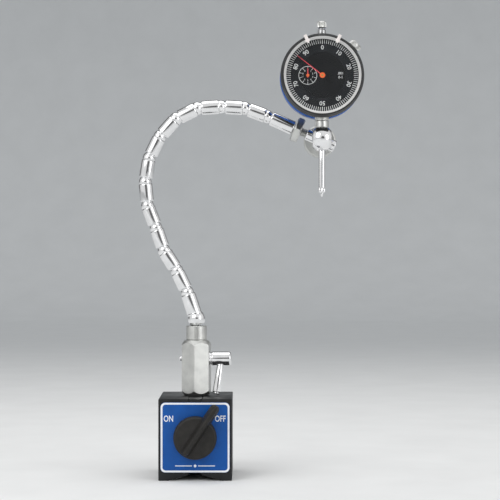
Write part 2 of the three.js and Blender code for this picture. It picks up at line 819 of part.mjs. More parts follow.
function bezel() {
  const lipW = crystalBackW + crystalThickness + 0.2;
  const stepW = caseFrontW + runGap;
  return turned([
    [bezelInner, bezelBackW],
    [bezelRadius, bezelBackW],
    [bezelRadius, bezelFrontW - 0.8],
    [bezelRadius - 0.6, bezelFrontW],
    [bezelCrownRadius, bezelFrontW],
    [bezelLipRadius, bezelFrontW - 1.4],
    [bezelLipRadius, lipW],
    [bezelWallRadius, lipW],
    [bezelWallRadius, stepW],
    [bezelInner, stepW],
    [bezelInner, bezelBackW],
  ], 36);
}

function stem() {
  const tubeBody = upAxis(tube(spindleRadius + runGap, stemRadius, stemEnd, -caseRadius + 4, 20));
  const caseRound = rod(caseRadius + seatGap, caseBackW - overcut, bezelBackW, 48);
  const bezelRound = rod(bezelRadius + runGap, bezelBackW - runGap, bezelFrontW + overcut, 48);
  return cut(tubeBody, caseRound, bezelRound);
}

function upperBush() {
  const bottom = caseRadius - 4;
  const top = capTop - capLength - runGap;
  const bush = turned([
    [rodTopRadius + runGap, bottom],
    [upperBushRadius, bottom],
    [upperBushRadius, top - 2.6],
    [capRadius, top - 2.6],
    [capRadius, top - 0.8],
    [upperBushRadius, top - 0.8],
    [upperBushRadius, top],
    [rodTopRadius + runGap, top],
    [rodTopRadius + runGap, bottom],
  ], 16);
  const caseRound = rod(caseRadius + seatGap, caseBackW - overcut, bezelFrontW, 48);
  return cut(upAxis(bush), caseRound);
}

const capBottom = capTop - capLength;

function spindle() {
  return upAxis(turned([
    [0, spindleEnd],
    [spindleRadius, spindleEnd],
    [spindleRadius, -rackTopBelowCentre],
    [rodTopRadius, -rackTopBelowCentre],
    [rodTopRadius, capBottom - seatGap],
    [0, capBottom - seatGap],
  ], 16));
}

function contactPoint() {
  const collarTop2 = spindleEnd - seatGap;
  const collarBottom = spindleEnd - contactCollarLength;
  const tipCentre = collarBottom - contactTipLength + contactTipRadius;
  return upAxis(turned([
    ...arc(contactTipRadius, tipCentre, 180, 90, 4),
    [contactTipRadius, collarBottom],
    [contactCollarRadius - 0.4, collarBottom],
    [contactCollarRadius, collarBottom + 0.4],
    [contactCollarRadius, collarTop2],
    [0, collarTop2],
  ], 16));
}

function liftingCap() {
  return upAxis(turned([
    [0, capBottom],
    [capRadius - 0.3, capBottom],
    [capRadius, capBottom + 0.3],
    [capRadius, capTop - 0.6],
    [capRadius - 0.6, capTop],
    [0, capTop],
  ], 16));
}

function dialCentre() {
  const arborHole = rod(1.2, dialW - overcut, dialW + 2, 12);
  const counterHole = rod(0.9, dialW - overcut, dialW + 2, 12).translate(-counterOffset, 0, 0);
  return cut(rod(dialSplitRadius, dialW, dialW + dialThickness, 36), arborHole, counterHole);
}

function pointerBlade(w, length, tail, rootHalf, tipHalf, hub) {
  const blade = new THREE.Shape([
    new THREE.Vector2(-rootHalf * 0.8, -tail),
    new THREE.Vector2(rootHalf * 0.8, -tail),
    new THREE.Vector2(rootHalf, 0),
    new THREE.Vector2(tipHalf, length),
    new THREE.Vector2(-tipHalf, length),
    new THREE.Vector2(-rootHalf, 0),
  ]);
  const body = new THREE.ExtrudeGeometry(blade, { depth: pointerThickness, bevelEnabled: false });
  body.translate(0, 0, w);
  return cut(
    join(body, rod(hub, w, w + pointerThickness + pointerHubRise, 16)),
    rod(0.75, w - overcut, w + overcut, 10),
  );
}

const arborTipW = pointerW + pointerThickness;
const counterArborTipW = counterPointerW + pointerThickness;

function centreArbor() {
  return turned([
    [0, 2.9],
    [0.45, 2.9],
    [0.45, 3.4],
    [arborPinionRadius, 3.4],
    [arborPinionRadius, 4.3],
    [counterPinionRadius, 4.3],
    [counterPinionRadius, 5.7],
    [0.45, 5.7],
    [0.45, arborTipW],
    [0, arborTipW],
  ], 14);
}

function rackGear() {
  const wheel = gear(rackGearRadius, 0.5, 16, 3.4, 4.2);
  const pinion = gear(rackPinionRadius, 0.35, 6, -2.2, 3.5);
  const pivots = rod(0.5, -3.2, 4.7, 10);
  return join(wheel, pinion, pivots);
}

function counterGear() {
  const wheel = gear(counterGearRadius, 0.5, 18, 5.05, 5.6);
  return join(wheel, rod(0.45, 4.6, counterArborTipW, 10));
}

function movementPlate() {
  const holes = [
    [0, 0, 1.3],
    [-counterOffset, 0, 0.8],
  ].map(([x, y, r]) => rod(r, 5, dialW, 12).translate(x, y, 0));
  return cut(rod(caseRadius - caseWall - 1.5, 6.1, 6.9, 32), ...holes);
}

function returnSpring() {
  return upAxis(tube(1, 1.7, -16, 14, 12)).translate(8.5, 0, -3);
}

function toleranceClip() {
  const inner = bezelRadius + seatGap;
  const outer = inner + clipThickness;
  const face = new THREE.Shape([
    new THREE.Vector2(-clipWidth / 2, outer),
    new THREE.Vector2(-clipWidth / 2, clipReach + 1.6),
    new THREE.Vector2(0, clipReach),
    new THREE.Vector2(clipWidth / 2, clipReach + 1.6),
    new THREE.Vector2(clipWidth / 2, outer),
  ]);
  const front = new THREE.ExtrudeGeometry(face, { depth: clipThickness, bevelEnabled: false });
  front.translate(0, 0, bezelFrontW + seatGap);
  const leg = block(-clipWidth / 2, clipWidth / 2, inner, outer, bezelFrontW - 6, bezelFrontW + seatGap + clipThickness);
  return join(front, leg);
}

function lockScrew() {
  const headBottom = bezelRadius + 0.8;
  return alongX(turned([
    [0, caseRadius - caseWall + 0.4],
    [lockScrewShankRadius, caseRadius - caseWall + 0.4],
    [lockScrewShankRadius, headBottom],
    [lockScrewHeadRadius - 0.4, headBottom],
    [lockScrewHeadRadius, headBottom + 0.4],
    [lockScrewHeadRadius, headBottom + lockScrewHeadLength - 0.4],
    [lockScrewHeadRadius - 0.4, headBottom + lockScrewHeadLength],
    [0, headBottom + lockScrewHeadLength],
  ], 20)).rotateZ(radians(lockScrewAngle)).translate(0, 0, lockScrewW);
}

const backTopW = caseBackW - seatGap;
const backFaceW = backTopW - magnetBackThickness;
const recessW = backFaceW + magnetBackRecess;

function backShell() {
  const rimInner = magnetBackRimRadius - magnetBackRimWidth;
  return turned([
    [0, recessW],
    [rimInner, recessW],
    [rimInner, backFaceW],
    [magnetBackRimRadius, backFaceW],
    [bezelRadius, backFaceW + 2.6],
    [bezelRadius, backTopW],
    [0, backTopW],
  ], 32);
}

const indicator = new THREE.Group();
const tolerances = [['left', 1], ['right', -1]].map(([side, sign]) => {
  const clip = piece(`tolerance_clip_${side}`, toleranceClip(), chrome);
  clip.rotation.z = radians(sign * toleranceSpread);
  return clip;
});
const mainPointer = piece('main_pointer', pointerBlade(pointerW, pointerLength, pointerTail, 0.75, 0.2, 1.9), redEnamel);
mainPointer.rotation.z = radians(pointerAngle);
indicator.add(
  piece('indicator_case', indicatorCase(), blackPaint),
  piece('stem', stem(), chrome),
  piece('upper_bush', upperBush(), chrome),
  piece('bezel', bezel(), blackPaint),
  piece('crystal', rod(bezelWallRadius - seatGap, crystalBackW, crystalBackW + crystalThickness, 36), clearAcrylic),
  piece('dial_ring', tube(dialSplitRadius + seatGap, bezelWallRadius - seatGap, dialW, dialW + dialThickness, 36), blackDial),
  piece('dial_centre', dialCentre(), blackDial),
  mainPointer,
  piece('centre_arbor', centreArbor(), brass),
  piece('spindle', spindle(), chrome),
  piece('contact_point', contactPoint(), steel),
  piece('lifting_cap', liftingCap(), chrome),
  piece('movement_plate', movementPlate(), brass),
  piece('return_spring', returnSpring(), steel),
  piece('bezel_lock_screw', lockScrew(), chrome),
  piece('back_shell', backShell(), blueEnamel),
  piece('back_magnet', tube(ceramicInnerRadius, ceramicOuterRadius, backFaceW + 0.4, recessW - seatGap, 36), ceramic),
  piece('back_pole', rod(backPoleRadius, backFaceW, recessW - seatGap, 28), steel),
  at(-counterOffset, 0, 0,
    piece('counter_gear', counterGear(), brass),
    piece('counter_pointer', pointerBlade(counterPointerW, counterPointerLength, 1.6, 0.5, 0.2, 1.1), redEnamel),
  ),
  at(-rackPinionOffset, -rackPinionDrop, 0, piece('rack_gear', rackGear(), brass)),
  ...tolerances,
);
indicator.rotation.x = Math.PI / 2;
indicator.position.set(clampCentre.x, clampCentre.y - clampBoreHeight, dialCentreHeight);

// ---- The whole, standing on its sole with its box centred over the origin -------------------
const whole = new THREE.Group();
whole.add(base, column, arm, armEnd, clamp, indicator);
whole.updateMatrixWorld(true);
const box = new THREE.Box3().setFromObject(whole, true);
whole.position.set(-(box.min.x + box.max.x) / 2, -(box.min.y + box.max.y) / 2, -box.min.z);

export default whole;
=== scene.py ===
import json
import math

import bmesh
import bpy
from bpy.props import FloatProperty, FloatVectorProperty, IntProperty, PointerProperty
from mathutils import Matrix, Vector


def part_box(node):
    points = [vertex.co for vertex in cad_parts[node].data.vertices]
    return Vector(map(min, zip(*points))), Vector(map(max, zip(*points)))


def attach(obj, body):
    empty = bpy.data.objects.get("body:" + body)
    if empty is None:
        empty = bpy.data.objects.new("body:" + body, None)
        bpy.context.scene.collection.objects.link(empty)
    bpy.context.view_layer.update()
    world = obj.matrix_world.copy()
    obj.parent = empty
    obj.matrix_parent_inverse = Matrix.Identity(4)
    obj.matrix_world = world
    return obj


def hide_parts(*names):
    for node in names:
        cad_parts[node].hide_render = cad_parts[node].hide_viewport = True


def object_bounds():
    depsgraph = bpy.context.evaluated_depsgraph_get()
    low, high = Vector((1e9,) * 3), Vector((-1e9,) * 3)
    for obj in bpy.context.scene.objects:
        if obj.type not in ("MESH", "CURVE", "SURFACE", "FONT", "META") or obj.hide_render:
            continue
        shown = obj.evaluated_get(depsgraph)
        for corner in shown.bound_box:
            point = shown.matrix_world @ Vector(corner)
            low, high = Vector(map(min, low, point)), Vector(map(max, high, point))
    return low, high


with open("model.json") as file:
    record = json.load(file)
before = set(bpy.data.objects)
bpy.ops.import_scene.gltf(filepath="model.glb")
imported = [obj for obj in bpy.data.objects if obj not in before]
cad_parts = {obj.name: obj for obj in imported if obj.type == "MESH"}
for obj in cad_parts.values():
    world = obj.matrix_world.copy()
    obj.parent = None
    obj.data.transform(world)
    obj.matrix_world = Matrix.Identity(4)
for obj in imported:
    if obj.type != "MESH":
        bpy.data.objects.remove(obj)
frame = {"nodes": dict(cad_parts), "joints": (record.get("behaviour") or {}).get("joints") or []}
CAD_BOX = [list(corner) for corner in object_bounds()]

bl_info = {
    "name": "Dial indicator on magnetic base",
    "version": (1, 0, 0),
    "blender": (4, 5, 0),
    "location": "3D View > Sidebar > Indicator",
    "description": "Builds the visible pieces and finishes of a dial indicator on a magnetic base",
    "category": "Object",
}

MM = 0.001
FLAT_FACE_CORNERS = 9  # faces with this many corners or more are flat ends
JOINTS = {joint["name"]: joint for joint in frame["joints"]}
ARM_LINKS = sum(name.startswith("link_") for name in JOINTS)


# ---- Places, taken from the frame --------------------------------------------------------
def joint_point(name):
    return Vector(JOINTS[name]["pos_m"])


def node_box(*names):
    """Lowest and highest corners, in metres, of the box round these nodes."""
    boxes = [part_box(name) for name in names]
    low = Vector(min(box[0][axis] for box in boxes) for axis in range(3))
    high = Vector(max(box[1][axis] for box in boxes) for axis in range(3))
    return low, high


def placed(origin, across, up, outward):
    """A matrix from a piece's own millimetres to the frame, with its X, Y and Z directions."""
    turn = Matrix((across, up, outward)).transposed().to_4x4()
    return Matrix.Translation(origin) @ turn @ Matrix.Scale(MM, 4)


def upright(origin):
    return placed(origin, (1, 0, 0), (0, 1, 0), (0, 0, 1))


def facing_front(origin):
    """X to the right, Y up and Z towards the dial side."""
    return placed(origin, (1, 0, 0), (0, 0, 1), (0, -1, 0))


def spun(place, degrees):
    return place @ Matrix.Rotation(math.radians(degrees), 4, "Z")


def link_place(number):
    """Stands on a ball of the arm, with Z along the link that the ball belongs to."""
    start = joint_point(f"link_{number:02d}_bend")
    if number < ARM_LINKS:
        along = (joint_point(f"link_{number + 1:02d}_bend") - start).normalized()
    else:
        along = Vector(JOINTS["clamp_swivel"]["axis"]).normalized()
    return placed(start, Vector((0, 1, 0)).cross(along), (0, 1, 0), along)


def link_pitch(number):
    span = joint_point(f"link_{number + 1:02d}_bend") - joint_point(f"link_{number:02d}_bend")
    return span.length / MM


# ---- Outlines, in millimetres ------------------------------------------------------------
def eased(points, radius, steps=3, closed=False):
    """The same outline with a small round at each corner that turns more than 20 degrees."""
    count = len(points)
    result = []
    for index, (x, y) in enumerate(points):
        if not closed and index in (0, count - 1):
            result.append((x, y))
            continue
        corner = Vector((x, y))
        back = Vector(points[index - 1]) - corner
        ahead = Vector(points[(index + 1) % count]) - corner
        if back.length < 1e-6 or ahead.length < 1e-6:
            continue
        if back.angle(ahead) > math.radians(160):
            result.append((x, y))
            continue
        reach = min(radius, back.length * 0.45, ahead.length * 0.45)
        start = corner + back.normalized() * reach
        end = corner + ahead.normalized() * reach
        for step in range(steps + 1):
            t = step / steps
            result.append(tuple(start * (1 - t) ** 2 + corner * 2 * t * (1 - t) + end * t**2))
    return result


def arc(radius, centre_x, centre_y, start, end, steps):
    """Points of an arc between two angles in degrees, anticlockwise from +X."""
    angles = [math.radians(start + (end - start) * i / steps) for i in range(steps + 1)]
    return [(centre_x + radius * math.cos(a), centre_y + radius * math.sin(a)) for a in angles]


def ball_arc(radius, height, start, end, steps=10):
    """Points of a turned profile's arc, between two angles in degrees from straight up."""
    angles = [math.radians(start + (end - start) * i / steps) for i in range(steps + 1)]
    return [(max(0.0, radius * math.sin(a)), height + radius * math.cos(a)) for a in angles]


def rounded_rectangle(width, height, corner, steps=8):
    x, y = width / 2 - corner, height / 2 - corner
    quarters = [(x, -y, -90), (x, y, 0), (-x, y, 90), (-x, -y, 180)]
    return [p for cx, cy, a in quarters for p in arc(corner, cx, cy, a, a + 90, steps)]


def inset(outline, distance):
    """The closed outline, moved inwards by a distance on every side."""
    count = len(outline)
    result = []
    for index in range(count):
        here = Vector(outline[index])
        before = (here - Vector(outline[index - 1])).normalized()
        after = (Vector(outline[(index + 1) % count]) - here).normalized()
        inward = Vector((-before.y - after.y, before.x + after.x))
        share = max(0.3, 1 + before.dot(after))
        result.append(tuple(here + inward * (distance / share)))
    return result


# ---- Mesh building -----------------------------------------------------------------------
def skin(bm, rings, capped=False):
    """Joins closed rings of points in turn; a ring with one point closes to a tip."""
    sides = max(len(ring) for ring in rings)
    for lower, upper in zip(rings, rings[1:]):
        for side in range(sides):
            after = (side + 1) % sides
            corners = [lower[side % len(lower)], lower[after % len(lower)]]
            corners += [upper[after % len(upper)], upper[side % len(upper)]]
            unique = list(dict.fromkeys(corners))
            if len(unique) > 2:
                bm.faces.new(unique)
    if capped:
        bm.faces.new(list(reversed(rings[0])))
        bm.faces.new(rings[-1])


def points_of(bm, points, place=None):
    """New points of a mesh, moved by a matrix if one is given."""
    return [bm.verts.new(place @ Vector(point) if place else point) for point in points]


def moved(bm, axis=None, degrees=0, shift=(0, 0, 0)):
    """The mesh after a turn about an axis through the origin and a shift."""
    turn = Matrix.Rotation(math.radians(degrees), 3, axis or "Z")
    bmesh.ops.rotate(bm, verts=bm.verts, matrix=turn)
    bmesh.ops.translate(bm, verts=bm.verts, vec=shift)
    return bm


def knurled(teeth, depth, above, low, high, start=0.0):
    """A shape for turned(): straight knurling between two heights, outside a radius."""
    def shape(angle, radius, height):
        if radius <= above or not low < height < high:
            return radius
        return radius - depth * (0.5 + 0.5 * math.cos(angle * teeth + 2 * math.pi * start))

    return shape


def evenly(radius, low, high, steps):
    """Points up a straight side, for a shape that changes along it."""
    return [(radius, low + (high - low) * i / steps) for i in range(steps + 1)]


def turned(profile, sides=64, shaped=None):
    """A body turned about Z from (radius, height) points that go up its outside.

    A profile that ends where it starts makes a ring. shaped(angle, radius, height) may give
    a point another radius, for knurls, flats and threads.
    """
    ring_shaped = profile[0] == profile[-1]
    points = profile[:-1] if ring_shaped else profile
    bm = bmesh.new()
    rings = []
    for radius, height in points:
        if radius < 1e-6:
            rings.append([bm.verts.new((0, 0, height))])
            continue
        ring = []
        for side in range(sides):
            angle = 2 * math.pi * side / sides
            r = shaped(angle, radius, height) if shaped else radius
            ring.append(bm.verts.new((r * math.cos(angle), r * math.sin(angle), height)))
        rings.append(ring)
    skin(bm, rings + rings[:1] if ring_shaped else rings)
    return bm


def rod(radius, low, high, sides):
    """A plain round body about Z, used to cut with."""
    return turned([(0, low), (radius, low), (radius, high), (0, high)], sides)


def prism(outline, low, high, ease=0.3):
    """A closed outline in X and Y with a thickness along Z and eased edges."""
    bm = bmesh.new()
    levels = [(low, ease), (low + ease * 0.3, ease * 0.3), (low + ease, 0)]
    levels += [(high - ease, 0), (high - ease * 0.3, ease * 0.3), (high, ease)]
    rings = []
    for height, distance in levels:
        points = inset(outline, distance) if distance else outline
        rings.append(points_of(bm, [(x, y, height) for x, y in points]))
    skin(bm, rings, capped=True)
    return bm


def band(bm, outer, inner, low, high):
    """Adds a flat ring between two closed outlines with the same number of points."""
    rings = [points_of(bm, [(x, y, z) for x, y in points])
             for points, z in ((outer, low), (outer, high), (inner, high), (inner, low))]
    skin(bm, rings + rings[:1])


def strip(bm, place, x0, x1, y0, y1, low, high):
    """Adds a small printed or cut bar between two corners."""
    corners = [(x0, y0), (x1, y0), (x1, y1), (x0, y1)]
    levels = [points_of(bm, [(x, y, z) for x, y in corners], place) for z in (low, high)]
    skin(bm, levels, capped=True)


def lettering(bm, text, size, place, thickness):
    """Adds raised letters or numbers, centred on the place's origin."""
    curve = bpy.data.curves.new("lettering", "FONT")
    curve.body = text
    curve.size = size
    curve.align_x = "CENTER"
    curve.align_y = "CENTER"
    curve.extrude = thickness / 2
    curve.offset = size * 0.012
    curve.resolution_u = 3
    holder = bpy.data.objects.new("lettering", curve)
    bpy.context.scene.collection.objects.link(holder)
    graph = bpy.context.evaluated_depsgraph_get()
    mesh = bpy.data.meshes.new_from_object(holder.evaluated_get(graph))
    mesh.transform(place)
    bm.from_mesh(mesh)
    bpy.data.objects.remove(holder)
    bpy.data.meshes.remove(mesh)


def mesh_from(bm):
    bmesh.ops.remove_doubles(bm, verts=bm.verts, dist=1e-5)
    bmesh.ops.recalc_face_normals(bm, faces=bm.faces)
    for face in bm.faces:
        face.smooth = True
    flat = [face for face in bm.faces if len(face.verts) >= FLAT_FACE_CORNERS]
    parts = bmesh.ops.triangulate(bm, faces=flat, ngon_method="BEAUTY")
    for face in parts["faces"]:
        face.smooth = False
    mesh = bpy.data.meshes.new("piece")
    bm.to_mesh(mesh)
    bm.free()
    return mesh


def combined(body, *steps):
    """The body after booleans with other meshes: each step is an operation and a mesh."""
    scene = bpy.context.scene
    holder = bpy.data.objects.new("body", mesh_from(body))
    scene.collection.objects.link(holder)
    tools = []
    for operation, tool in steps:
        tools.append(bpy.data.objects.new("tool", mesh_from(tool)))
        scene.collection.objects.link(tools[-1])
        modifier = holder.modifiers.new(operation, "BOOLEAN")
        modifier.operation = operation
        modifier.solver = "EXACT"
        modifier.object = tools[-1]
    graph = bpy.context.evaluated_depsgraph_get()
    mesh = bpy.data.meshes.new_from_object(holder.evaluated_get(graph))
    result = bmesh.new()
    result.from_mesh(mesh)
    for item in [holder, *tools]:
        bpy.data.objects.remove(item)
    bpy.data.meshes.remove(mesh)
    return result


def make_piece(name, bm, place, body, material, replaces=(), crease=32, edge=0.0):
    """Puts a mesh into the scene as a finished piece that rides on a body of the frame.

    The point attribute "own_mm" keeps each point's place in the piece's own axes, which
    lets a finish follow the piece's lathe lines or milling direction.
    """
    mesh = mesh_from(bm)
    mesh.name = name
    piece = bpy.data.objects.new(name, mesh)
    bpy.context.scene.collection.objects.link(piece)
    if edge:
        soften = piece.modifiers.new("edge", "BEVEL")
        soften.width = edge
        soften.segments = 2
        soften.limit_method = "ANGLE"
        soften.angle_limit = math.radians(crease)
        soften.harden_normals = False
        graph = bpy.context.evaluated_depsgraph_get()
        mesh = bpy.data.meshes.new_from_object(piece.evaluated_get(graph))
        piece.modifiers.clear()
        piece.data = mesh
        mesh.name = name
    own = mesh.attributes.new("own_mm", "FLOAT_VECTOR", "POINT")
    own.data.foreach_set("vector", [c for v in mesh.vertices for c in v.co])
    mesh.transform(place)
    mesh.set_sharp_from_angle(angle=math.radians(crease))
    mesh.materials.clear()
    mesh.materials.append(material)
    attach(piece, body)
    if replaces:
        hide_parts(*replaces)
    return piece


# ---- Node trees for the finishes ---------------------------------------------------------
def linear(hex_colour):
    """sRGB hex to linear red, green and blue."""
    channels = [int(hex_colour[i:i + 2], 16) / 255 for i in (1, 3, 5)]
    return tuple(c / 12.92 if c <= 0.04045 else ((c + 0.055) / 1.055) ** 2.4 for c in channels)


def add(tree, kind, settings=None, links=None):
    """Adds a node, sets its options or sockets by name, and links sockets to others' outputs."""
    node = tree.nodes.new(kind)
    for key, value in (settings or {}).items():
        if isinstance(key, str) and hasattr(node, key):
            setattr(node, key, value)
        else:
            node.inputs[key].default_value = value
    for key, source in (links or {}).items():
        tree.links.new(source, node.inputs[key])
    return node


def start_material(name, own=True):
    """A material with an empty tree and its output; no tree if it has been made before.

    own says whether the piece has its own axes; a carried-over node's finish has another name.
    """
    name += "" if own else "_node"
    material = bpy.data.materials.get(name)
    if material:
        return material, None, None
    material = bpy.data.materials.new(name)
    material.use_nodes = True
    tree = material.node_tree
    tree.nodes.clear()
    output = add(tree, "ShaderNodeOutputMaterial")
    return material, tree, output


def millimetres(tree, own):
    """Coordinates in millimetres: a piece's own axes, or the frame's for a carried-over node."""
    if own:
        return add(tree, "ShaderNodeAttribute", {"attribute_name": "own_mm"}).outputs["Vector"]
    coordinates = add(tree, "ShaderNodeTexCoord").outputs["Object"]
    scaled = add(tree, "ShaderNodeVectorMath", {"operation": "SCALE", "Scale": 1 / MM},
                 {0: coordinates})
    return scaled.outputs["Vector"]


def grain(tree, coordinates, size, stretch=(1, 1, 1), detail=2.0, roughness=0.55):
    """Noise whose grains are about size millimetres wide, drawn out along an axis by stretch."""
    mapping = add(tree, "ShaderNodeMapping",
                  {"Scale": tuple(1 / (size * s) for s in stretch)}, {"Vector": coordinates})
    settings = {"Scale": 1.0, "Detail": detail, "Roughness": roughness}
    noise = add(tree, "ShaderNodeTexNoise", settings, {"Vector": mapping.outputs["Vector"]})
    return noise.outputs["Fac"]


def between(tree, source, low, high, from_low=0.3, from_high=0.7):
    """A value between two limits, from a pattern that mostly lies between 0.3 and 0.7."""
    settings = {"From Min": from_low, "From Max": from_high, "To Min": low, "To Max": high}
    return add(tree, "ShaderNodeMapRange", settings, {"Value": source}).outputs["Result"]


def blended(tree, source, first, second):
    """A colour between two linear colours, by a pattern."""
    mix = add(tree, "ShaderNodeMix", {"data_type": "RGBA"}, {"Factor": between(tree, source, 0, 1)})
    mix.inputs[6].default_value = (*first, 1)
    mix.inputs[7].default_value = (*second, 1)
    return mix.outputs[2]


def tinted(tree, source, first, second):
    """A colour between two hex colours, by a pattern."""
    return blended(tree, source, linear(first), linear(second))


def lightened(tree, source, base, gain):
    """A linear colour that a pattern makes up to gain times lighter."""
    return blended(tree, source, base, [min(1.0, channel * gain) for channel in base])


def raised(tree, source, depth, strength=1.0):
    """A normal from a pattern that is depth millimetres deep."""
    settings = {"Strength": strength, "Distance": depth * MM}
    return add(tree, "ShaderNodeBump", settings, {"Height": source}).outputs["Normal"]


def finish_surface(tree, output, settings, links):
    shader = add(tree, "ShaderNodeBsdfPrincipled", settings, links)
    tree.links.new(shader.outputs["BSDF"], output.inputs["Surface"])


def bright_chrome(own=True):
    """Chromium plate on polished steel: mirror bright, with faint polishing lines and a thin
    film of handling marks that dulls it here and there."""
    material, tree, output = start_material("bright_chrome_plate", own)
    if tree:
        at = millimetres(tree, own)
        film = grain(tree, at, 6.0, detail=3.0)
        lines = grain(tree, at, 0.35, stretch=(1, 1, 0.12))
        finish_surface(tree, output, {"Metallic": 1.0}, {
            "Base Color": tinted(tree, film, "#E4E5E6", "#F3F3F4"),
            "Roughness": between(tree, film, 0.06, 0.13),
            "Normal": raised(tree, lines, 0.004, 0.35),
        })
    return material


def satin_nickel(own=True):
    """Dull nickel plate on milled steel: a soft grey sheen, with fine lines along the milling."""
    material, tree, output = start_material("satin_nickel_plate", own)
    if tree:
        at = millimetres(tree, own)
        lines = grain(tree, at, 0.4, stretch=(1, 1, 14), detail=3.0)
        cloud = grain(tree, at, 7.0)
        finish_surface(tree, output, {"Metallic": 1.0}, {
            "Base Color": tinted(tree, cloud, "#BEBFBD", "#D0D1CE"),
            "Roughness": between(tree, lines, 0.3, 0.44),
            "Normal": raised(tree, lines, 0.012, 0.5),
        })
    return material


def turned_steel(own=True):
    """Bright steel as it leaves the lathe: rings one feed apart catch the light as arcs. The
    feed is drawn at 0.35 mm, coarser than the real 0.1 mm, so that it shows."""
    material, tree, output = start_material("turned_tool_steel", own)
    if tree:
        at = millimetres(tree, own)
        rings = add(tree, "ShaderNodeTexWave", {
            "wave_type": "RINGS", "rings_direction": "Z", "Scale": 0.9, "Distortion": 0.6,
            "Detail": 2.0, "Detail Scale": 0.4}, {"Vector": at}).outputs["Fac"]
        film = grain(tree, at, 4.0)
        finish_surface(tree, output, {"Metallic": 1.0}, {
            "Base Color": tinted(tree, film, "#A4A5A6", "#C6C6C7"),
            "Roughness": between(tree, film, 0.24, 0.4),
            "Normal": raised(tree, rings, 0.02, 0.5),
        })
    return material


def black_enamel(own=True):
    """Black stove enamel sprayed on a ground steel block: half gloss, with the fine orange peel
    that spraying leaves, about 0.9 mm from bump to bump."""
    material, tree, output = start_material("black_stove_enamel", own)
    if tree:
        at = millimetres(tree, own)
        peel = grain(tree, at, 0.9, detail=1.0)
        cloud = grain(tree, at, 12.0, detail=3.0)
        finish_surface(tree, output, {"IOR": 1.5, "Specular IOR Level": 0.35}, {
            "Base Color": tinted(tree, cloud, "#121314", "#1B1C1E"),
            "Roughness": between(tree, cloud, 0.32, 0.46),
            "Normal": raised(tree, peel, 0.03, 0.6),
        })
    return material


def black_anodised(own=True):
    """Black anodised aluminium: a dense satin black with a slight metal sheen in its turning
    lines."""
    material, tree, output = start_material("black_anodised_aluminium", own)
    if tree:
        at = millimetres(tree, own)
        lines = grain(tree, at, 0.5, stretch=(3, 3, 0.25))
        cloud = grain(tree, at, 8.0)
        finish_surface(tree, output, {"Specular IOR Level": 0.4}, {
            "Base Color": tinted(tree, cloud, "#151617", "#1F2021"),
            "Roughness": between(tree, lines, 0.3, 0.45),
            "Normal": raised(tree, lines, 0.012, 0.4),
        })
    return material


def moulded_phenolic():
    """Black phenolic moulded in an eroded die: matt and finely pitted, a little brown where the
    light is strong."""
    material, tree, output = start_material("moulded_phenolic_black")
    if tree:
        at = millimetres(tree, True)
        pits = grain(tree, at, 0.55, detail=3.0, roughness=0.7)
        cloud = grain(tree, at, 5.0)
        finish_surface(tree, output, {"IOR": 1.5, "Specular IOR Level": 0.3}, {
            "Base Color": tinted(tree, cloud, "#1D1C1A", "#282624"),
            "Roughness": between(tree, pits, 0.42, 0.62),
            "Normal": raised(tree, pits, 0.06, 0.75),
        })
    return material


def printed_blue(base):
    """Aluminium sheet with a stoved blue print: even and half gloss, the rolled sheet's lines just
    felt through the ink."""
    material, tree, output = start_material("stoved_print_blue")
    if tree:
        at = millimetres(tree, True)
        lines = grain(tree, at, 0.5, stretch=(12, 1, 1))
        cloud = grain(tree, at, 9.0)
        finish_surface(tree, output, {"IOR": 1.5, "Specular IOR Level": 0.3}, {
            "Base Color": lightened(tree, cloud, base, 1.22),
            "Roughness": between(tree, lines, 0.33, 0.42),
            "Normal": raised(tree, lines, 0.01, 0.4),
        })
    return material


def screen_ink(name, first, second, roughness=0.45):
    """Screen printed ink: flat and matt, with the slight mottle of the mesh it went through."""
    material, tree, output = start_material(name)
    if tree:
        at = millimetres(tree, True)
        mottle = grain(tree, at, 0.4, detail=1.0)
        finish_surface(tree, output, {"IOR": 1.48}, {
            "Base Color": tinted(tree, mottle, first, second),
            "Roughness": between(tree, mottle, roughness - 0.05, roughness + 0.07),
            "Normal": raised(tree, mottle, 0.01, 0.3),
        })
    return material


def blue_enamel(base):
    """Blue gloss enamel sprayed on a pressed steel cup: a wet-looking skin with soft orange
    peel."""
    material, tree, output = start_material("sprayed_blue_enamel")
    if tree:
        at = millimetres(tree, True)
        peel = grain(tree, at, 1.3, detail=1.0)
        cloud = grain(tree, at, 15.0)
        finish_surface(tree, output, {"IOR": 1.5, "Coat Weight": 0.4, "Coat Roughness": 0.08}, {
            "Base Color": lightened(tree, cloud, base, 1.18),
            "Roughness": between(tree, cloud, 0.22, 0.32),
            "Normal": raised(tree, peel, 0.02, 0.35),
        })
    return material


def sintered_ferrite(own=True):
    """Sintered ferrite, ground on its faces: dark grey ceramic, dull, with the grit of the
    pressed powder and a brown cast."""
    material, tree, output = start_material("sintered_ferrite", own)
    if tree:
        at = millimetres(tree, own)
        grit = grain(tree, at, 0.45, detail=4.0, roughness=0.7)
        patch = grain(tree, at, 6.0, detail=3.0)
        finish_surface(tree, output, {"IOR": 1.8}, {
            "Base Color": tinted(tree, patch, "#4F4D4C", "#5C5958"),
            "Roughness": between(tree, grit, 0.55, 0.75),
            "Normal": raised(tree, grit, 0.05, 0.6),
        })
    return material


def dial_lacquer(name, first, second):
    """Matt black lacquer on a dial plate: even and dark, slightly cloudy where it was sprayed."""
    material, tree, output = start_material(name)
    if tree:
        at = millimetres(tree, True)
        tooth = grain(tree, at, 5.0, detail=2.0)
        finish_surface(tree, output, {"IOR": 1.45, "Specular IOR Level": 0.12}, {
            "Base Color": tinted(tree, tooth, first, second),
            "Roughness": between(tree, tooth, 0.5, 0.62),
        })
    return material


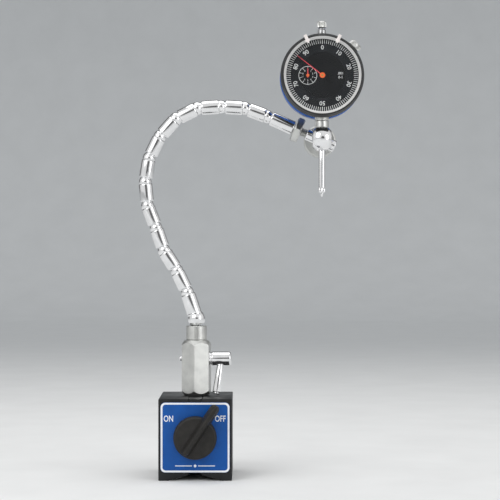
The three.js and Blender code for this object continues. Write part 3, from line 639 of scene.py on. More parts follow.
def pointer_enamel(name, base):
    """Bright enamel on a blanked steel hand: slightly glossy, with small clouds where it pooled."""
    material, tree, output = start_material(name)
    if tree:
        at = millimetres(tree, True)
        flow = grain(tree, at, 1.5)
        finish_surface(tree, output, {"IOR": 1.5}, {
            "Base Color": lightened(tree, flow, base, 1.15),
            "Roughness": between(tree, flow, 0.3, 0.4),
        })
    return material


def turned_brass(own=True):
    """Free-cutting brass, turned: warm yellow with lathe lines and a few darker, tarnished
    clouds."""
    material, tree, output = start_material("turned_brass", own)
    if tree:
        at = millimetres(tree, own)
        cloud = grain(tree, at, 3.0)
        lines = grain(tree, at, 0.4, stretch=(3, 3, 0.3))
        finish_surface(tree, output, {"Metallic": 1.0}, {
            "Base Color": tinted(tree, cloud, "#B08A48", "#C9A765"),
            "Roughness": between(tree, cloud, 0.25, 0.4),
            "Normal": raised(tree, lines, 0.01, 0.4),
        })
    return material


def turned_aluminium(own=True):
    """Turned aluminium: light grey, satin, with open grain."""
    material, tree, output = start_material("turned_aluminium", own)
    if tree:
        at = millimetres(tree, own)
        cloud = grain(tree, at, 2.0, detail=3.0)
        finish_surface(tree, output, {"Metallic": 1.0}, {
            "Base Color": tinted(tree, cloud, "#B9BABB", "#CFD0D0"),
            "Roughness": between(tree, cloud, 0.3, 0.45),
            "Normal": raised(tree, cloud, 0.01, 0.4),
        })
    return material


def pale_lacquer(name, first, second):
    """Silver lacquer on metal: pale and satin, lighter than bare metal, with fine flakes in it."""
    material, tree, output = start_material(name)
    if tree:
        at = millimetres(tree, True)
        flake = grain(tree, at, 0.3, detail=2.0)
        finish_surface(tree, output, {"Metallic": 0.25, "IOR": 1.5}, {
            "Base Color": tinted(tree, flake, first, second),
            "Roughness": between(tree, flake, 0.3, 0.42),
            "Normal": raised(tree, flake, 0.006, 0.3),
        })
    return material


def acrylic_crystal():
    """Cast acrylic, polished: clear and nearly colourless, with faint wiping marks in its gloss.
    Lamps shine through it, so that the dial behind it stays lit."""
    material, tree, output = start_material("cast_acrylic_clear")
    if tree:
        at = millimetres(tree, True)
        wipe = grain(tree, at, 8.0, detail=3.0)
        pane = add(tree, "ShaderNodeBsdfPrincipled", {
            "IOR": 1.49, "Transmission Weight": 1.0,
            "Base Color": (0.985, 0.99, 0.992, 1)}, {"Roughness": between(tree, wipe, 0.0, 0.012)})
        clear = add(tree, "ShaderNodeBsdfTransparent", {"Color": (0.96, 0.97, 0.97, 1)})
        path = add(tree, "ShaderNodeLightPath")
        mix = add(tree, "ShaderNodeMixShader", {}, {0: path.outputs["Is Shadow Ray"]})
        tree.links.new(pane.outputs["BSDF"], mix.inputs[1])
        tree.links.new(clear.outputs["BSDF"], mix.inputs[2])
        tree.links.new(mix.outputs["Shader"], output.inputs["Surface"])
    return material


def backdrop_paper():
    """Pale seamless paper: matt, with the faint cloudiness of its pulp. Its colour is darkened smoothly
    with distance back along Y, a painted shade that makes the upright part greyer than its floor, so
    that white metal stands out from it."""
    material, tree, output = start_material("seamless_paper")
    if tree:
        at = millimetres(tree, False)
        pulp = grain(tree, at, 60.0, detail=4.0)
        depth = add(tree, "ShaderNodeSeparateXYZ", {}, {0: at}).outputs["Y"]
        # painted shade: the paper is blended from pale to grey with distance towards the back
        far_painted_shade = add(tree, "ShaderNodeMapRange", {
            "interpolation_type": "SMOOTHSTEP", "From Min": 150.0, "From Max": 1800.0},
            {"Value": depth})
        mix = add(tree, "ShaderNodeMix", {"data_type": "RGBA"}, {
            "Factor": far_painted_shade.outputs["Result"], 6: tinted(tree, pulp, "#E8E9E9", "#EDEEEE"),
            7: tinted(tree, pulp, "#C3C6C8", "#C7CACC")})
        finish_surface(tree, output, {"IOR": 1.4}, {
            "Base Color": mix.outputs[2],
            "Roughness": between(tree, pulp, 0.75, 0.85),
        })
    return material


# ---- Sizes and colours that a user would change ------------------------------------------
def size(name, description, default, unit="LENGTH"):
    return FloatProperty(name=name, description=description, default=default, unit=unit,
                         precision=5)


def colour(name, description, default):
    return FloatVectorProperty(name=name, description=description, default=linear(default),
                               subtype="COLOR", min=0, max=1)


class BaseSettings(bpy.types.PropertyGroup):
    edge_round: size("Edge round", "Round on the steel block's edges", 0.0007)
    plate_border: size("Plate border", "Width of the plate's white border", 0.0014)
    plate_blue: colour("Plate blue", "Colour of the stoved print", "#004891")
    ridge_width: size("Grip top", "Width of the switch grip at its top", 0.0028)
    letter_height: size("Letter height", "Height of ON and OFF on the plate", 0.0042)


class ArmSettings(bpy.types.PropertyGroup):
    sides: IntProperty(name="Sides", description="Flat sides round a turned link", default=56,
                       min=16, max=128)
    neck_depth: size("Neck depth", "Depth of the groove under each shoulder", 0.0008)
    edge_round: size("Edge round", "Round on a link's turned edges", 0.00035)


class ClampSettings(bpy.types.PropertyGroup):
    knurl_teeth: IntProperty(name="Knurl teeth", description="Teeth round the knurled nut",
                             default=72, min=24, max=120)
    knurl_depth: size("Knurl depth", "Depth of the knurled nut's teeth", 0.00022)
    thread_pitch: size("Thread pitch", "Pitch of the clamp's threads", 0.0008)


class DialSettings(bpy.types.PropertyGroup):
    numeral_height: size("Numeral height", "Height of the numbers round the dial", 0.0029)
    tick_outer: size("Graduation outer radius", "Outer end of the graduations", 0.0244)
    tick_length: size("Graduation length", "Length of each graduation", 0.003)
    counter_radius: size("Counter radius", "Radius of the turn counter's ring", 0.0063)
    pointer_colour: colour("Pointer colour", "Colour of both hands' blades", "#DB4550")
    hub_colour: colour("Hub colour", "Colour of both hands' hubs", "#F2662A")
    back_blue: colour("Magnetic back blue", "Colour of the magnetic back's cup", "#0650A2")


class StageSettings(bpy.types.PropertyGroup):
    lens: size("Lens", "Focal length of the camera", 0.12)
    margin: FloatProperty(name="Margin", description="Room round the object in the view",
                          default=0.055, min=0, max=1)
    key_power: FloatProperty(name="Key light", description="Power of the main soft light",
                             default=5.5, min=0, unit="POWER")


class BuildOperator:
    """What the operators of this add-on share."""

    bl_options = {"REGISTER", "UNDO"}


# ---- Magnetic base -----------------------------------------------------------------------
def base_frame():
    """The base's middle at the sole, and its half width, half depth and height in millimetres."""
    low, high = node_box("pole_left", "pole_right")
    middle = Vector(((low.x + high.x) / 2, (low.y + high.y) / 2, low.z))
    span = (high - low) / MM
    return middle, span.x / 2, span.y / 2, span.z


class INDICATOR_OT_base_block(BuildOperator, bpy.types.Operator):
    """Builds the two steel halves with the grooved sole, and finishes the pieces in the bore"""

    bl_idname = "indicator.base_block"
    bl_label = "Base block"

    def execute(self, context):
        ease = context.scene.indicator_base.edge_round / MM
        middle, half_width, half_depth, height = base_frame()
        axis_height = (joint_point("base_switch").z - middle.z) / MM
        bore, arc_steps = 14.5, 20
        groove_half, groove_rise = 18.35, 3.84
        end_ease = ease * 0.4  # less than the corner rounds, so that the inset can't cross itself
        for side, name in ((-1, "left"), (1, "right")):
            low, high = node_box(f"pole_{name}")
            inner = abs((low.x if side > 0 else high.x) - middle.x) / MM
            opening = math.degrees(math.asin(inner / bore))
            wall = [(side * half_width, 0), (side * half_width, height)]
            curve = [(side * x, y) for x, y in
                     arc(bore, 0, axis_height, 90 - opening, opening - 90, arc_steps)]
            outline = [(side * inner, groove_rise), (side * groove_half, 0), *wall,
                       (side * inner, height), *curve]
            if side < 0:
                outline.reverse()
            shape = prism(eased(outline, ease, closed=True), -half_depth, half_depth, end_ease)
            make_piece(f"base_half_{name}", shape, facing_front(middle), "base",
                       black_enamel(), [f"pole_{name}"])
        for node in ("spacer_top", "spacer_bottom", "rear_cover"):
            dress(node, black_enamel(False))
        dress("front_bush", turned_aluminium(False))
        dress("rotor_shaft", turned_steel(False))
        dress("rotor_magnet", sintered_ferrite(False))
        dress("base_stud", turned_steel(False))
        return {"FINISHED"}


def dress(node, material):
    """Gives a carried-over node its finish."""
    mesh = frame["nodes"][node].data
    mesh.materials.clear()
    mesh.materials.append(material)


class INDICATOR_OT_label_plate(BuildOperator, bpy.types.Operator):
    """Builds the printed plate round the switch, with its border and the ON and OFF marks"""

    bl_idname = "indicator.label_plate"
    bl_label = "Label plate"

    def execute(self, context):
        settings = context.scene.indicator_base
        low, high = node_box("label_plate")
        width, thickness, height = (high - low) / MM
        place = facing_front(Vector(((low.x + high.x) / 2, high.y, (low.z + high.z) / 2)))
        corner, rim, ink, sunk = 3.2, 0.175, 0.05, 0.05
        blank = prism(rounded_rectangle(width, height, corner), 0, thickness, 0.15)
        make_piece("plate_blank", blank, place, "base",
                   printed_blue(settings.plate_blue), ["label_plate"])
        border = settings.plate_border / MM
        inner = rounded_rectangle(width - 2 * border, height - 2 * border, corner - border * 0.7)
        outer = rounded_rectangle(width - 2 * rim, height - 2 * rim, corner - 0.15)
        marks = bmesh.new()
        band(marks, outer, inner, thickness - sunk, thickness + 0.06)
        font_size = settings.letter_height / MM * 1.4
        narrow = Matrix.Diagonal((0.72, 1, 1, 1))
        word_height = 12.6
        for text, x in (("ON", -18.0), ("OFF", 17.1)):
            spot = Matrix.Translation((x, word_height, thickness)) @ narrow
            lettering(marks, text, font_size, spot, 0.1)
        foot = Matrix.Translation((0, -19.2, 0))
        rule_end, gap, rule_half, lozenge_half = 13.5, 2.1, 0.28, 0.8
        levels = (thickness - sunk, thickness + ink)
        for start, end in ((-rule_end, -gap), (gap, rule_end)):
            strip(marks, foot, start, end, -rule_half, rule_half, *levels)
        strip(marks, spun(foot, 45), -lozenge_half, lozenge_half, -lozenge_half, lozenge_half, *levels)
        make_piece("plate_marks", marks, place, "base",
                   screen_ink("screen_ink_white", "#E2E4E8", "#EEF0F2"))
        return {"FINISHED"}


class INDICATOR_OT_switch_knob(BuildOperator, bpy.types.Operator):
    """Builds the moulded switch knob: a disc with a roof-shaped grip across it"""

    bl_idname = "indicator.switch_knob"
    bl_label = "Switch knob"

    def execute(self, context):
        settings = context.scene.indicator_base
        low, high = node_box("switch_knob")
        axis = joint_point("base_switch")
        place = facing_front(Vector((axis.x, high.y, axis.z)))
        depth = (high.y - low.y) / MM
        disc_height = depth / 2
        radius, grip_angle = 14.8, 56.2
        profile = [(0, 0), (radius - 0.6, 0), (radius, 0.8), (radius - 0.35, disc_height - 1.2),
                   (radius - 1.3, disc_height), (0, disc_height)]
        disc = turned(eased(profile, 0.7, 5), 96)
        foot_half, top_half = 3.35, settings.ridge_width / MM / 2
        reach_out, reach_back = 26.7, 13.3
        rings = []
        grip = bmesh.new()
        # place along the grip, share of its width and share of its height
        stations = [(-reach_back, 0.55, 0.5), (-reach_back + 0.9, 0.85, 0.86),
                    (-reach_back + 2.6, 1, 1), (reach_out - 5.2, 1, 1)]
        for a in (math.radians(degrees) for degrees in (10, 32, 54, 74)):
            rounded = math.cos(a)
            stations.append((reach_out - foot_half * (1 - math.sin(a)), rounded**0.75,
                             0.78 + 0.22 * rounded))
        for along, width_share, height_share in stations:
            foot, top = foot_half * width_share, top_half * width_share
            rise = disc_height + (depth - disc_height) * height_share
            section = [(-foot, disc_height - 1.5), (-foot, disc_height + 0.5)]
            section += [(-top * 1.25, rise - 1.6), (-top, rise - 0.6), (-top * 0.45, rise - 0.12),
                        (0, rise)]
            section += [(-y, z) for y, z in reversed(section[:-1])]
            rings.append(points_of(grip, [(along, y, z) for y, z in section]))
        skin(grip, rings, capped=True)
        knob = combined(disc, ("UNION", moved(grip, "Z", grip_angle)))
        make_piece("knob_grip", knob, place, "switch", moulded_phenolic(),
                   ["switch_knob"], crease=40, edge=0.25)
        return {"FINISHED"}


# ---- Column and clamping lever -----------------------------------------------------------
def hexagon_radius(angle, flats, corner):
    """Distance from the axis to a hexagon with slightly rounded corners."""
    turn = (angle + math.pi / 6) % (math.pi / 3) - math.pi / 6
    flat = flats / 2 / math.cos(turn)
    limit = flats / 2 / math.cos(math.pi / 6) - corner * 0.155
    return min(flat, limit)


def hexagon_body(flats, bottom, top, chamfer, corner=0.6, slope=30, sides=144):
    """A hexagon prism whose ends are turned to a cone, which leaves a scallop on each flat."""
    face = flats / 2 - chamfer

    def height_of(angle, edge):
        reach = hexagon_radius(angle, flats, corner) - face
        return edge * reach * math.tan(math.radians(slope))

    bm = bmesh.new()
    angles = [2 * math.pi * i / sides for i in range(sides)]

    def ring(radius_of, height_at):
        return points_of(bm, [(radius_of(a) * math.cos(a), radius_of(a) * math.sin(a), height_at(a))
                              for a in angles])

    def outer(angle):
        return hexagon_radius(angle, flats, corner)

    soften = 0.25
    rings = [
        [bm.verts.new((0, 0, bottom))],
        ring(lambda a: face, lambda a: bottom),
        ring(lambda a: outer(a) - soften, lambda a: bottom + height_of(a, 1) - soften * 0.5),
        ring(outer, lambda a: bottom + height_of(a, 1) + soften),
        ring(outer, lambda a: top - height_of(a, 1) - soften),
        ring(lambda a: outer(a) - soften, lambda a: top - height_of(a, 1) + soften * 0.5),
        ring(lambda a: face, lambda a: top),
        [bm.verts.new((0, 0, top))],
    ]
    skin(bm, rings)
    return bm


class INDICATOR_OT_column(BuildOperator, bpy.types.Operator):
    """Builds the hexagonal column with its slotted collar and the seat of the first ball"""

    bl_idname = "indicator.column"
    bl_label = "Hexagonal column"

    def execute(self, context):
        foot = joint_point("column_swivel")
        low, high = node_box("hex_column")
        place = upright(foot)
        bottom, collar_top = (low.z - foot.z) / MM, (high.z - foot.z) / MM
        hex_top, collar, flats, hexagon_turn = bottom + 38, 7.2, 19, -8
        ball_height = (joint_point("link_01_bend").z - foot.z) / MM
        seat = 6.5
        body = hexagon_body(flats, bottom, hex_top, 0.9, slope=52)
        make_piece("column_hexagon", moved(body, "Z", hexagon_turn), place, "column",
                   satin_nickel(), ["hex_column"], crease=25)
        mouth = math.degrees(math.acos((collar_top - ball_height) / seat))
        seat_curve = ball_arc(seat, ball_height, mouth, 176, 12)
        profile = [(0, hex_top - 1.5), (collar - 0.5, hex_top - 1.5), (collar - 0.5, hex_top + 0.35),
                   (collar, hex_top + 0.8), (collar, collar_top - 0.3), (collar - 0.25, collar_top)]
        profile += seat_curve[:-1] + [(0, ball_height - seat)]
        slot_half, slot_bottom, slot_depth = 1.15, hex_top + 1.7, 0.9

        def slotted(angle, radius, height):
            """A shallow slot at the front of the collar."""
            sideways = abs(radius * math.cos(angle))
            inside = math.sin(angle) < 0 and sideways < slot_half and height > slot_bottom
            return radius - slot_depth if inside and radius > collar - 0.6 else radius

        profile[4:4] = evenly(collar, hex_top + 0.8, collar_top - 0.3, 24)[1:-1]
        make_piece("column_collar", turned(profile, 192, slotted), place, "column",
                   satin_nickel(), crease=25)
        return {"FINISHED"}


class INDICATOR_OT_lever(BuildOperator, bpy.types.Operator):
    """Builds the cross shaft and the lever that tightens the arm"""

    bl_idname = "indicator.lever"
    bl_label = "Clamping lever"

    def execute(self, context):
        middle = joint_point("cam_lever")
        low, high = node_box("cam_shaft")
        radius, end, tip_end = 4.9, (high.x - middle.x) / MM, (low.x - middle.x) / MM
        pin_radius, shaft_start = 1.5, -7.2
        along_x = placed(middle, (0, 1, 0), (0, 0, 1), (1, 0, 0))
        shaft = [(0, shaft_start), (radius, shaft_start), (radius, 9.6), (radius - 0.5, 9.9),
                 (radius - 0.5, 10.6), (radius, 10.9), (radius, end - 1.1), (radius - 0.7, end - 0.2),
                 (radius - 1.8, end), (0, end)]
        make_piece("cross_shaft", turned(eased(shaft, 0.5, 4), 80), along_x, "cam",
                   bright_chrome(), ["cam_shaft"])
        pin = [(0, tip_end), (pin_radius - 0.35, tip_end), (pin_radius, tip_end + 0.4),
               (pin_radius, shaft_start + 0.4), (0, shaft_start + 0.4)]
        make_piece("cross_shaft_pin", turned(eased(pin, 0.25, 3), 40), along_x, "cam",
                   bright_chrome())
        lever_offset, lean, forward = 17.2, math.radians(7.6), math.radians(10)
        root = middle + Vector((lever_offset * MM, 0, 0))
        down = Matrix.Rotation(-forward, 3, "X") @ Matrix.Rotation(lean, 3, "Y") @ Vector((0, 0, -1))
        across = Vector((0, 1, 0)).cross(down).normalized()
        place = placed(root, across, down.cross(across), down)
        length = 25.2
        handle = [(0, 3.4), (1.9, 3.4), (1.9, 5.1), (2.35, 5.4), (2.4, 7), (2.88, length - 2.0),
                  (2.75, length - 1.6), (1.85, length - 1.35), (1.85, length - 1.1),
                  (2.15, length - 0.9), (2.0, length - 0.15), (1.3, length), (0, length)]
        make_piece("lever", turned(eased(handle, 0.3, 3), 56), place, "cam",
                   bright_chrome(), ["lever_handle"])
        dress("tension_rod", turned_steel(False))
        return {"FINISHED"}


# ---- Flexible arm ------------------------------------------------------------------------
FIRST_LINK = (5.3, 6.2, 4.2)  # sleeve radius, ball radius and shoulder height in millimetres
OTHER_LINK = (5.0, 4.62, 3.0)
CABLE_MOUTH = 0.9  # where the cable's flared hole in a ball is narrowest; cables end short of it


def link_profile(radius, ball, shoulder, end, settings):
    """The outside of a link: ball, neck and sleeve up to its mouth."""
    neck = ball - settings.neck_depth / MM
    neck_angle = math.degrees(math.asin(neck / ball))
    points = ball_arc(ball, 0, 136, neck_angle, 16)
    neck_top = ball * math.cos(math.radians(neck_angle))
    points += [(neck - 0.05, (neck_top + shoulder) / 2), (neck, shoulder)]
    points += [(radius - 0.5, shoulder + 0.02), (radius, shoulder + 0.5)]
    return points + [(radius, end - 0.55), (radius - 0.3, end)]


class INDICATOR_OT_arm(BuildOperator, bpy.types.Operator):
    """Builds the links of the flexible arm, each with its ball, neck and socket sleeve"""

    bl_idname = "indicator.arm"
    bl_label = "Arm links"

    def execute(self, context):
        settings = context.scene.indicator_arm
        ease = settings.edge_round / MM
        seat, bore, mouth_gap = 4.9, 1.75, 1.5
        mouth_angle = math.degrees(math.acos(-mouth_gap / seat))
        for number in range(1, ARM_LINKS):
            pitch = link_pitch(number)
            radius, ball, shoulder = FIRST_LINK if number == 1 else OTHER_LINK
            outside = link_profile(radius, ball, shoulder, pitch - mouth_gap, settings)
            inside = ball_arc(seat, pitch, mouth_angle, 160, 8)
            profile = [*eased([*outside, inside[0]], ease), *inside[1:], (bore, CABLE_MOUTH)]
            profile.append(outside[0])
            make_piece(f"arm_link_{number:02d}", turned(profile, settings.sides), link_place(number),
                       f"arm_{number:02d}", bright_chrome(), [f"link_{number:02d}"])
        return {"FINISHED"}


class INDICATOR_OT_cable(BuildOperator, bpy.types.Operator):
    """Builds the wire that pulls the balls together, one length for each link"""

    bl_idname = "indicator.cable"
    bl_label = "Tension cable"

    def execute(self, context):
        strands, radius, lay, steps = 6, 0.74, 9.0, 28
        first_start, last_end = -6.2, 8.0

        def roped(angle, r, height):
            twist = angle * strands - 2 * math.pi * strands * height / lay
            return r * (0.93 + 0.07 * math.cos(twist))

        for number in range(1, ARM_LINKS + 1):
            first = number == 1
            end = link_pitch(number) - CABLE_MOUTH if number < ARM_LINKS else last_end
            start = first_start if first else 0.0
            profile = [(0, start)] if first else ball_arc(radius - 0.04, 0, 180, 100, 5)
            profile += evenly(radius, start, end, steps) + [(0, end)]
            replaced = ["tension_cable"] if first else []
            make_piece(f"cable_length_{number:02d}", turned(profile, 36, roped), link_place(number),
                       f"arm_{number:02d}", turned_steel(), replaced)
        dress("cable_ferrule", turned_brass(False))
        return {"FINISHED"}


# ---- Arm end and clamp -------------------------------------------------------------------
def threaded(radius, depth, pitch, low, high, sides=48):
    """A rod with a helical thread."""
    steps = max(8, int((high - low) / pitch * 8))

    def screw(angle, r, height):
        phase = (height / pitch - angle / (2 * math.pi)) % 1
        return r - depth * (1 - abs(2 * phase - 1))

    return turned([(0, low), *evenly(radius, low, high, steps), (0, high)], sides, screw)


class INDICATOR_OT_arm_end(BuildOperator, bpy.types.Operator):
    """Builds the last link, the hexagon lock nut and the pin that carries the clamp"""

    bl_idname = "indicator.arm_end"
    bl_label = "Arm end"

    def execute(self, context):
        arm, clamp = context.scene.indicator_arm, context.scene.indicator_clamp
        place = link_place(ARM_LINKS)
        face, hole_radius, cable_hole, thread_radius = 20.2, 3.3, 1.6, 3.0
        outside = link_profile(*OTHER_LINK, face, arm)
        profile = eased([*outside, (hole_radius, face)], arm.edge_round / MM)
        profile += [(hole_radius, face - 8.2), (cable_hole, face - 8.5), (cable_hole, CABLE_MOUTH),
                    profile[0]]
        make_piece("arm_end_link", turned(profile, arm.sides), place, f"arm_{ARM_LINKS:02d}",
                   bright_chrome(), ["end_link"])
        nut_low, nut_high = face + 0.3, face + 5.6
        nut = combined(hexagon_body(16.8, nut_low, nut_high, 0.55, corner=0.4),
                       ("DIFFERENCE", rod(hole_radius, nut_low - 1, nut_high + 1, 48)))
        make_piece("lock_nut", nut, place, "jam_nut", satin_nickel(), ["jam_nut"],
                   crease=25)
        shank_low, shank_high = nut_high + 4, nut_high + 25.9
        thread = threaded(thread_radius, 0.42, clamp.thread_pitch / MM, face - 7.9, shank_low + 0.5)
        make_piece("clamp_thread", thread, place, "end_fitting", satin_nickel(),
                   crease=60)
        radius = 4.1
        pin = [(0, shank_low), (radius - 0.5, shank_low), (radius, shank_low + 0.5),
               (radius, shank_high - 0.5), (radius - 0.5, shank_high), (0, shank_high)]
        bolt_height = (shank_low + shank_high) / 2
        hole = moved(rod(1.8, -6, 6, 32), "X", 90, (0, 0, bolt_height))
        pin = combined(turned(eased(pin, 0.35, 4), 72), ("DIFFERENCE", hole))
        make_piece("clamp_pin", pin, place, "end_fitting", bright_chrome(), ["clamp_shank"])
        return {"FINISHED"}


def clamp_frame():
    """Z from the pin's axis towards the front, X upwards along the stem."""
    return placed(joint_point("claw_turn"), (0, 0, 1), (-1, 0, 0), (0, -1, 0))


def box_mesh(x0, x1, y0, y1, low, high):
    bm = bmesh.new()
    strip(bm, Matrix.Identity(4), x0, x1, y0, y1, low, high)
    return bm


def cross_bore(radius, height, half_length):
    """A cylinder along X, for the stem's bore."""
    return moved(rod(radius, -half_length, half_length, 72), "Y", 90, (0, 0, height))


class INDICATOR_OT_clamp(BuildOperator, bpy.types.Operator):
    """Builds the domed claw, the draw bolt with its eye and the knurled nut"""

    bl_idname = "indicator.clamp"
    bl_label = "Indicator clamp"

    def execute(self, context):
        settings = context.scene.indicator_clamp
        place = clamp_frame()
        radius, flats, slot_width, foot, top = 8.5, 13.0, 11.3, 10.1, 29.2
        bore_height, bore_radius = 18.7, 5.06
        crown = top - radius
        bullet = turned([(0, foot), (radius, foot), *ball_arc(radius, crown, 90, 0, 20)], 128)
        sides = box_mesh(-radius - 1, radius + 1, -flats / 2, flats / 2, 0, top + 1)
        half, crown_wall = slot_width / 2, 2.9
        slot_top = top - crown_wall - half
        outline = [(-half, foot - 1), (half, foot - 1), *arc(half, 0, slot_top, 0, 180, 28)]
        slot = bmesh.new()
        walls = [points_of(slot, [(x, y, z) for x, z in outline]) for y in (-radius - 1, radius + 1)]
        skin(slot, walls, capped=True)
        claw = combined(bullet, ("INTERSECT", sides), ("DIFFERENCE", slot),
                        ("DIFFERENCE", cross_bore(bore_radius, bore_height, radius + 2)))
        make_piece("claw", claw, place, "clamp", bright_chrome(), ["clamp_yoke"], crease=30,
                   edge=0.3)
        eye, root = 6.66, 5.7
        disc = cross_bore(eye, bore_height, 6.6)
        neck = turned([(0, root), (3.3, root), (eye - 1.6, bore_height), (0, bore_height)], 64)
        taper = bmesh.new()
        levels = []
        for height, thickness in ((root - 1, 3.3), (bore_height + eye + 1, 1.4)):
            corners = [(-thickness, -eye - 1), (thickness, -eye - 1), (thickness, eye + 1),
                       (-thickness, eye + 1)]
            levels.append(points_of(taper, [(x, y, height) for x, y in corners]))
        skin(taper, levels, capped=True)
        blade = combined(disc, ("UNION", neck), ("INTERSECT", taper),
                         ("DIFFERENCE", cross_bore(bore_radius, bore_height, radius + 2)))
        make_piece("draw_bolt_eye", blade, place, "clamp", bright_chrome(), ["eye_bolt"],
                   crease=30, edge=0.25)
        tail, groove = -28.4, -26.3
        thread = threaded(1.42, 0.2, 0.5, groove + 0.2, root + 0.6)
        make_piece("draw_bolt_thread", thread, place, "clamp", bright_chrome(), crease=60)
        button = [(0, tail), (1.0, tail), (1.4, tail + 0.35), (1.4, groove - 0.75),
                  (0.95, groove - 0.7), (0.95, groove + 0.3), (0, groove + 0.3)]
        make_piece("draw_bolt_end", turned(eased(button, 0.2), 40), place, "clamp",
                   bright_chrome())
        nut_radius, hub, hub_top, disc_top, disc_bottom = 11.25, 3.0, -4.4, -12.3, -18.1
        teeth, bore = settings.knurl_teeth, 1.85
        knurl = knurled(teeth, settings.knurl_depth / MM, nut_radius - 0.4, disc_bottom + 0.9,
                        disc_top - 0.9, start=0.5)
        profile = [(bore, disc_bottom + 0.2), (bore + 0.25, disc_bottom)]
        profile += eased([(bore + 0.35, disc_bottom), (nut_radius - 0.9, disc_bottom),
                          (nut_radius, disc_bottom + 0.8)], 0.2)
        profile += evenly(nut_radius, disc_bottom + 0.95, disc_top - 0.95, 3)
        profile += eased([(nut_radius, disc_top - 0.8), (nut_radius - 0.9, disc_top),
                          (hub + 0.5, disc_top), (hub, disc_top + 0.6), (hub, hub_top - 0.3),
                          (hub - 0.35, hub_top), (bore, hub_top)], 0.3)
        profile.append(profile[0])
        make_piece("knurled_nut", turned(profile, teeth * 4, knurl), place, "clamp_nut",
                   satin_nickel(), ["clamp_nut"], crease=35)
        return {"FINISHED"}


# ---- Dial indicator ----------------------------------------------------------------------
def dial_place():
    """The dial's middle, facing the front: X right, Y up and Z towards the viewer."""
    return facing_front(joint_point("bezel_turn"))


def dial_level(name, top=True):
    """How far a node's front or back lies in front of the dial's place, in millimetres."""
    low, high = node_box(name)
    return (joint_point("bezel_turn").y - (low.y if top else high.y)) / MM


class INDICATOR_OT_case(BuildOperator, bpy.types.Operator):
    """Builds the indicator's case with its stem and upper bush"""

    bl_idname = "indicator.case"
    bl_label = "Indicator case"

    def execute(self, context):
        place = dial_place()
        back = dial_level("indicator_case", False)
        front = dial_level("indicator_case")
        dress("indicator_case", black_anodised(False))
        for node in ("movement_plate", "centre_arbor", "counter_gear", "rack_gear"):
            dress(node, turned_brass(False))
        dress("return_spring", turned_steel(False))
        inner, step, outer = 25.4, 26.55, 26.9
        rim = [(inner, front - 0.5), (inner, back), (outer - 0.4, back), (outer, back + 0.4),
               (outer, front - 3.5), (step, front - 3.2), (step, front - 0.5), (inner, front - 0.5)]
        low, high = node_box("stem")
        middle = Vector(((low.x + high.x) / 2, (low.y + high.y) / 2, 0))
        spindle_level = (joint_point("bezel_turn").y - middle.y) / MM
        hole = moved(rod(2.6, -40, 40, 48), "X", 90, (0, 0, spindle_level))
        wall = combined(turned(eased(rim, 0.2), 128), ("DIFFERENCE", hole))
        make_piece("case_wall", wall, place, "indicator", black_anodised())
        level = joint_point("bezel_turn").z
        stand = upright(Vector((middle.x, middle.y, level)))
        radius, bore, bush_bore = 4.76, 2.5, 1.95
        foot, head = (low.z - level) / MM, (high.z - level) / MM
        stem = [(bore, foot), (radius - 1.4, foot), (radius - 1.3, foot + 0.4),
                (radius - 0.35, foot + 0.45),
                (radius, foot + 0.9), (radius, -30.6), (radius - 0.4, -30.3), (radius - 0.4, -29.6),
                (radius, -29.3), (radius, head - 0.3), (radius - 0.3, head), (bore, head), (bore, foot)]
        make_piece("stem_tube", turned(eased(stem, 0.2), 96), stand, "indicator",
                   satin_nickel(), ["stem"])
        low, high = node_box("upper_bush")
        bottom, top = (low.z - level) / MM, (high.z - level) / MM
        bush = [(bush_bore, bottom), (2.9, bottom), (2.9, top - 1.1), (2.3, top - 0.5), (2.3, top),
                (bush_bore, top), (bush_bore, bottom)]
        make_piece("guide_bush", turned(eased(bush, 0.15), 64), stand, "indicator",
                   turned_steel(), ["upper_bush"])
        return {"FINISHED"}


class INDICATOR_OT_bezel(BuildOperator, bpy.types.Operator):
    """Builds the knurled bezel, its silver flange and the crystal"""

    bl_idname = "indicator.bezel"
    bl_label = "Bezel"

    def execute(self, context):
        place = dial_place()
        back, front = dial_level("bezel", False), dial_level("bezel")
        outer, wall, crown, lip = 28.5, 26.2, 26.5, 24.6
        teeth = 150
        knurl = knurled(teeth, 0.32, outer - 0.3, back + 0.9, back + 5.6)
        side = evenly(outer, back + 0.95, back + 5.55, 6)
        top = [(outer, back + 6.2), (outer - 0.35, back + 7.6), (outer - 1.1, front - 1.2),
               (crown + 0.75, front - 0.25), (crown, front)]
        profile = [(wall, back), (outer - 0.6, back), (outer, back + 0.6), *side, *eased(top, 0.5)]
        profile += [(crown - 0.2, front - 0.05), (wall, front - 1.6), (wall, back)]
        make_piece("bezel_ring", turned(profile, teeth * 4, knurl), place, "bezel",
                   black_anodised(), ["bezel"], crease=30)
        crystal_back, crystal_front = dial_level("crystal", False), dial_level("crystal")
        flange = [(wall + 0.02, front - 1.7), (crown - 0.15, front - 0.12), (crown - 0.3, front - 0.02),
                  (lip + 0.25, crystal_front + 0.75), (lip, crystal_front + 0.5),
                  (lip, crystal_front + 0.05),
                  (lip + 0.2, crystal_back - 1.4), (wall + 0.02, crystal_back - 1.4),
                  (wall + 0.02, front - 1.7)]
        make_piece("bezel_flange", turned(flange[::-1], 192), place, "bezel",
                   pale_lacquer("silver_lacquer", "#C9C9C8", "#DADAD9"), crease=30)
        pane = [(0, crystal_back), (lip - 0.3, crystal_back), (lip - 0.2, crystal_back + 0.15),
                (lip - 0.2, crystal_front - 0.15), (lip - 0.3, crystal_front), (0, crystal_front)]
        make_piece("crystal_pane", turned(pane, 128), place, "bezel", acrylic_crystal(),
                   ["crystal"])
        return {"FINISHED"}


def around(radius, degrees):
    """A place at a radius and at degrees clockwise from up, with Y pointing outwards."""
    turn = Matrix.Rotation(math.radians(-degrees), 4, "Z")
    return turn @ Matrix.Translation((0, radius, 0))


